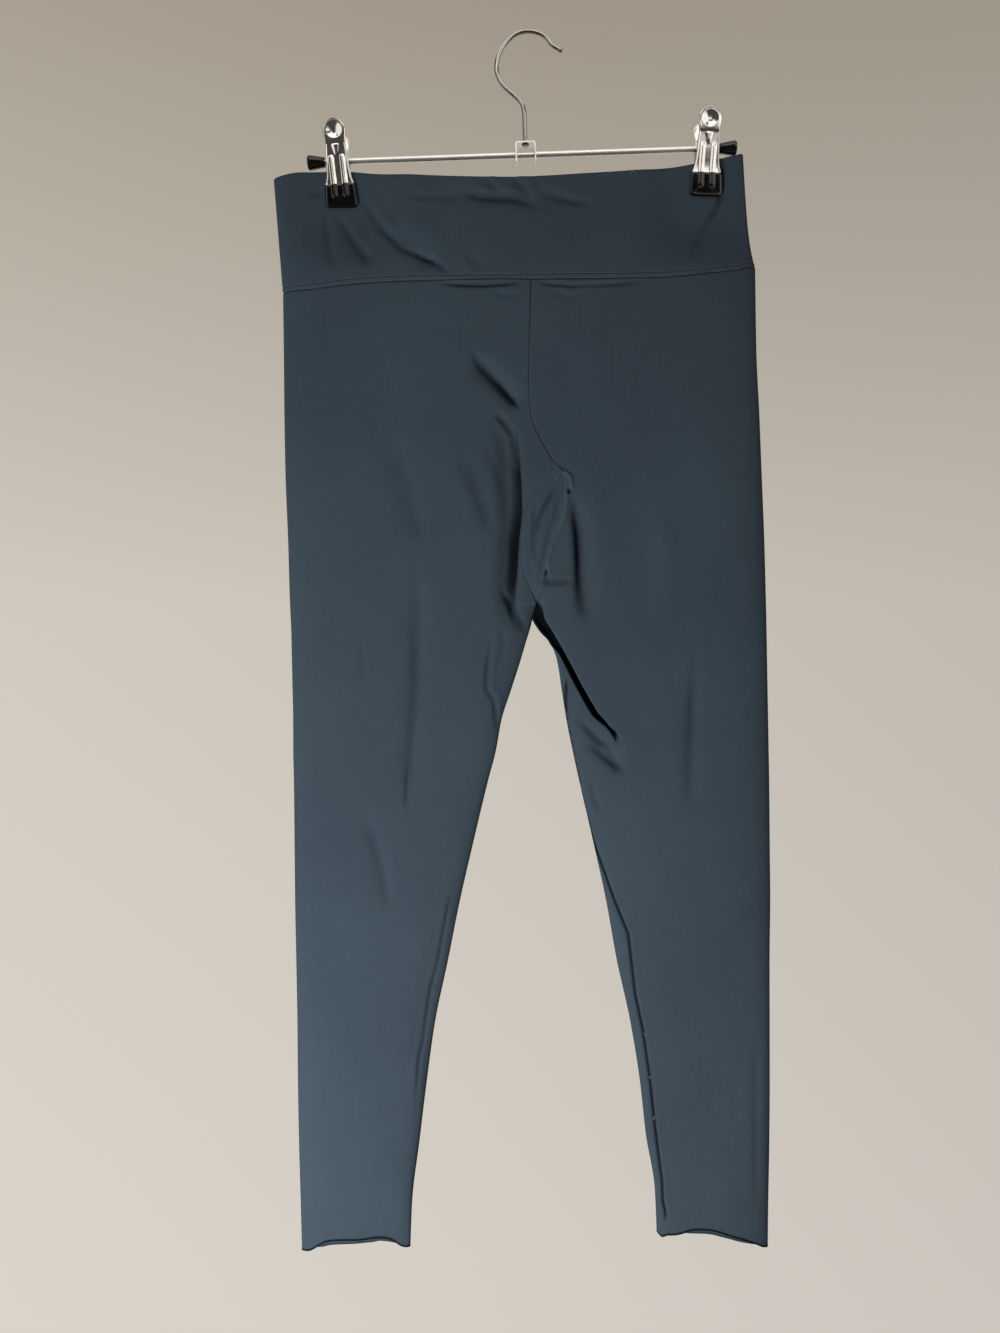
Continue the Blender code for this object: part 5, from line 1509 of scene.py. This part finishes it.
CAP_OVERLAP = 9.7
CAP_PROFILE = (
    (10.2, 0.0), (10.2, 2.7), (0.0, 2.7), (0.0, 3.7), (0.3, 3.95), (4.0, 4.55), (8.0, 5.25),
    (11.6, 5.85), (13.0, 6.0), (14.0, 5.7), (14.5, 4.9), (14.3, 3.4), (14.1, 0.0),
)
for sign, side in SIDE_NAMES.items():
    start = BAR_CENTRE_X + sign * (BAR_LENGTH / 2 - CAP_OVERLAP)
    profile = [(sign * along, radius) for along, radius in CAP_PROFILE]
    grid = lathe(profile if sign > 0 else profile[::-1], (start, 0, BAR_Z), "X")
    cap = piece_of(f"vinyl_cap_{side}", [on_hanger(grid)], vinyl, smooth_angle=50)
    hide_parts(f"end_cap_{side}")

for node, plating in (("yoke", chrome), ("bar", satin)):
    for slot in frame["nodes"][node].material_slots:
        slot.material = plating

# %% [markdown]
# ## The pieces ride on the body
#
# Every new piece in one of the listed finishes rides on the one body.

# %% Riding on the body
SLOTS = {jersey: "knit_blue", thread: "knit_blue", vinyl: "black_vinyl"}
SLOTS |= {chrome: "bright_steel", bright_wire: "bright_steel"}
for obj in list(bpy.context.scene.objects):
    if obj.type == "MESH" and not obj.hide_render and "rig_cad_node" not in obj and obj.data.materials:
        if obj.data.materials[0] in SLOTS and obj not in frame["nodes"].values():
            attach(obj, "root")

print("pieces of cloth: 4")

# %% [markdown]
# ## Stage, light and camera
#
# A pale floor well below, a plain pale room that is a little darker towards the ceiling, and soft lights:
# the brightest low on the left, so that the legs are lighter than the waist and the creases show, and weak
# ones on both sides. Polished metal needs something large and pale to mirror, so white cards stand round
# it that only mirrors see, as a studio would place them for polished goods.

# %% The floor
MOTTLING = 2.5  # in a metre: patches of 0.4 m
FLOOR_Z, FLOOR_RADIUS = -2200.0, 1600.0


def painted_floor():
    """Matt paint with slow patches of two tones."""
    made, tree, shader = finish_named("painted_floor", Roughness=0.8)
    place = add(tree, "TexCoord")
    mottle = add(tree, "TexNoise", {"Scale": MOTTLING, "Detail": 4.0}, {"Vector": place.outputs["Object"]})
    tone = add(tree, "ValToRGB", links={"Fac": mottle.outputs["Fac"]})
    dark, light = tone.color_ramp.elements
    dark.color, light.color = linear("#cbc5ba"), linear("#d2ccc2")
    tree.links.new(tone.outputs[0], shader.inputs["Base Color"])
    return made


radius, angle = np.linspace(0, FLOOR_RADIUS, 9)[:, None], np.linspace(0, 2 * math.pi, 97)[None, :]
disc = np.broadcast_arrays(radius * np.cos(angle), radius * np.sin(angle), FLOOR_Z)
disc = np.stack(disc, axis=-1)
floor = piece_of("studio_floor", [disc], painted_floor())

# %% The room
scene = bpy.context.scene
scene.view_settings.view_transform = "Standard"
ROOM_DIMMEST = 0.12


def plain_room():
    """A plain room as the world's colour: the wall behind is pale and darkens towards the ceiling, and the
    side that the garment faces is dimmer, so the creases in front are not washed out."""
    world = bpy.data.worlds.new("plain_room")
    world.use_nodes = True
    tree = world.node_tree
    ground = tree.nodes["Background"]
    place = add(tree, "TexCoord")
    axes = add(tree, "SeparateXYZ", links={0: place.outputs["Generated"]})
    height = add(tree, "MapRange", {1: -0.6, 2: 0.6, 3: 0.0, 4: 1.0}, {0: axes.outputs["Z"]})
    wall = add(tree, "ValToRGB", links={"Fac": height.outputs[0]})
    low, high = wall.color_ramp.elements
    low.color, high.color = linear("#d9d3ca"), linear("#9f9587")
    wall.color_ramp.elements.new(0.55).color = linear("#ccc6bb")
    facing = add(tree, "MapRange", {1: -0.5, 2: 0.6, 3: ROOM_DIMMEST, 4: 1.0}, {0: axes.outputs["Y"]})
    facing.interpolation_type = "SMOOTHSTEP"
    across = add(tree, "MapRange", {1: -0.5, 2: 0.5, 3: 1.05, 4: 0.86}, {0: axes.outputs["X"]})
    both = add(tree, "Math", links={0: facing.outputs[0], 1: across.outputs[0]}, operation="MULTIPLY")
    tree.links.new(wall.outputs[0], ground.inputs["Color"])
    tree.links.new(both.outputs[0], ground.inputs["Strength"])
    return world


scene.world = plain_room()
print("room nodes:", len(scene.world.node_tree.nodes))

# %% The lights
# Each light: its name, what it lights, its place and the point it faces, its sides and its power in watts.
LIGHTS = (
    ("low_left_softbox", "cloth", (-0.52, -0.85, -1.15), (0.0, 0.0, -0.82), (0.55, 0.55), 16.5),
    ("left_softbox", "cloth", (-1.35, -0.95, 0.3), (0.0, 0.0, -0.15), (0.9, 0.5), 1.3),
    ("right_softbox", "cloth", (1.4, -1.0, 0.3), (0.0, 0.0, -0.25), (0.9, 0.5), 1.5),
    ("right_front_softbox", "cloth", (0.45, -1.3, 0.12), (0.1, 0.0, -0.12), (0.6, 0.45), 0.65),
    ("left_card", "chrome", (-0.98, -1.26, 0.3), (0.0, 0.0, -0.1), (0.8, 1.2), 3.4),
    ("right_card", "chrome", (1.25, -0.95, 0.35), (0.0, 0.0, -0.1), (1.5, 1.1), 7.0),
    ("high_front_card", "chrome", (0.0, -1.2, 1.0), (0.0, 0.0, -0.1), (1.3, 0.6), 5.0),
    ("narrow_front_card", "chrome", (-0.02, -1.2, 0.5), (0.0, 0.0, -0.1), (0.2, 0.3), 0.22),
    ("right_head_card", "chrome", (0.45, -1.3, 0.27), (0.15, 0.0, -0.1), (0.5, 0.2), 0.5),
    ("right_low_card", "chrome", (0.42, -1.3, 0.06), (0.15, 0.0, -0.1), (0.5, 0.2), 0.08),
    ("ceiling_card", "chrome", (0.0, -0.1, 1.3), (0.0, 0.0, 0.0), (2.4, 2.4), 13.0),
)


def softbox(name, lights_up, at, towards, size, power):
    """An area light that faces a point, and either lights the cloth or is mirrored in the chrome."""
    light = bpy.data.lights.new(name, "AREA")
    light.shape, light.energy = "RECTANGLE", power
    light.size, light.size_y = size
    light.color = linear("#fffaf2")[:3]
    obj = bpy.data.objects.new(name, light)
    scene.collection.objects.link(obj)
    back = unit(np.array(at, float) - np.array(towards, float))
    side = unit(np.cross((0, 0, 1) if abs(back[2]) < 0.9 else (0, 1, 0), back))
    turn = np.eye(4)
    turn[:3, 0], turn[:3, 1], turn[:3, 2], turn[:3, 3] = side, np.cross(back, side), back, at
    obj.matrix_world = Matrix(turn.tolist())
    obj.visible_camera = False
    obj.visible_diffuse, obj.visible_glossy = lights_up == "cloth", lights_up == "chrome"
    return obj


for light in LIGHTS:
    softbox(*light)
print("lights:", len(LIGHTS))

# %% The camera
CAMERA_PLACE, CAMERA_LENS, SENSOR_WIDTH = (-0.0232, -0.830, -0.5255), 27.0, 36.0
camera_data = bpy.data.cameras.new("camera")
camera_data.lens, camera_data.sensor_width = CAMERA_LENS, SENSOR_WIDTH
camera_data.clip_start, camera_data.clip_end = 0.01, 20.0
camera = bpy.data.objects.new("camera", camera_data)
camera.location = CAMERA_PLACE
camera.rotation_euler = (math.radians(90), 0, 0)
scene.collection.objects.link(camera)
scene.camera = camera
print("camera at", tuple(camera.location))
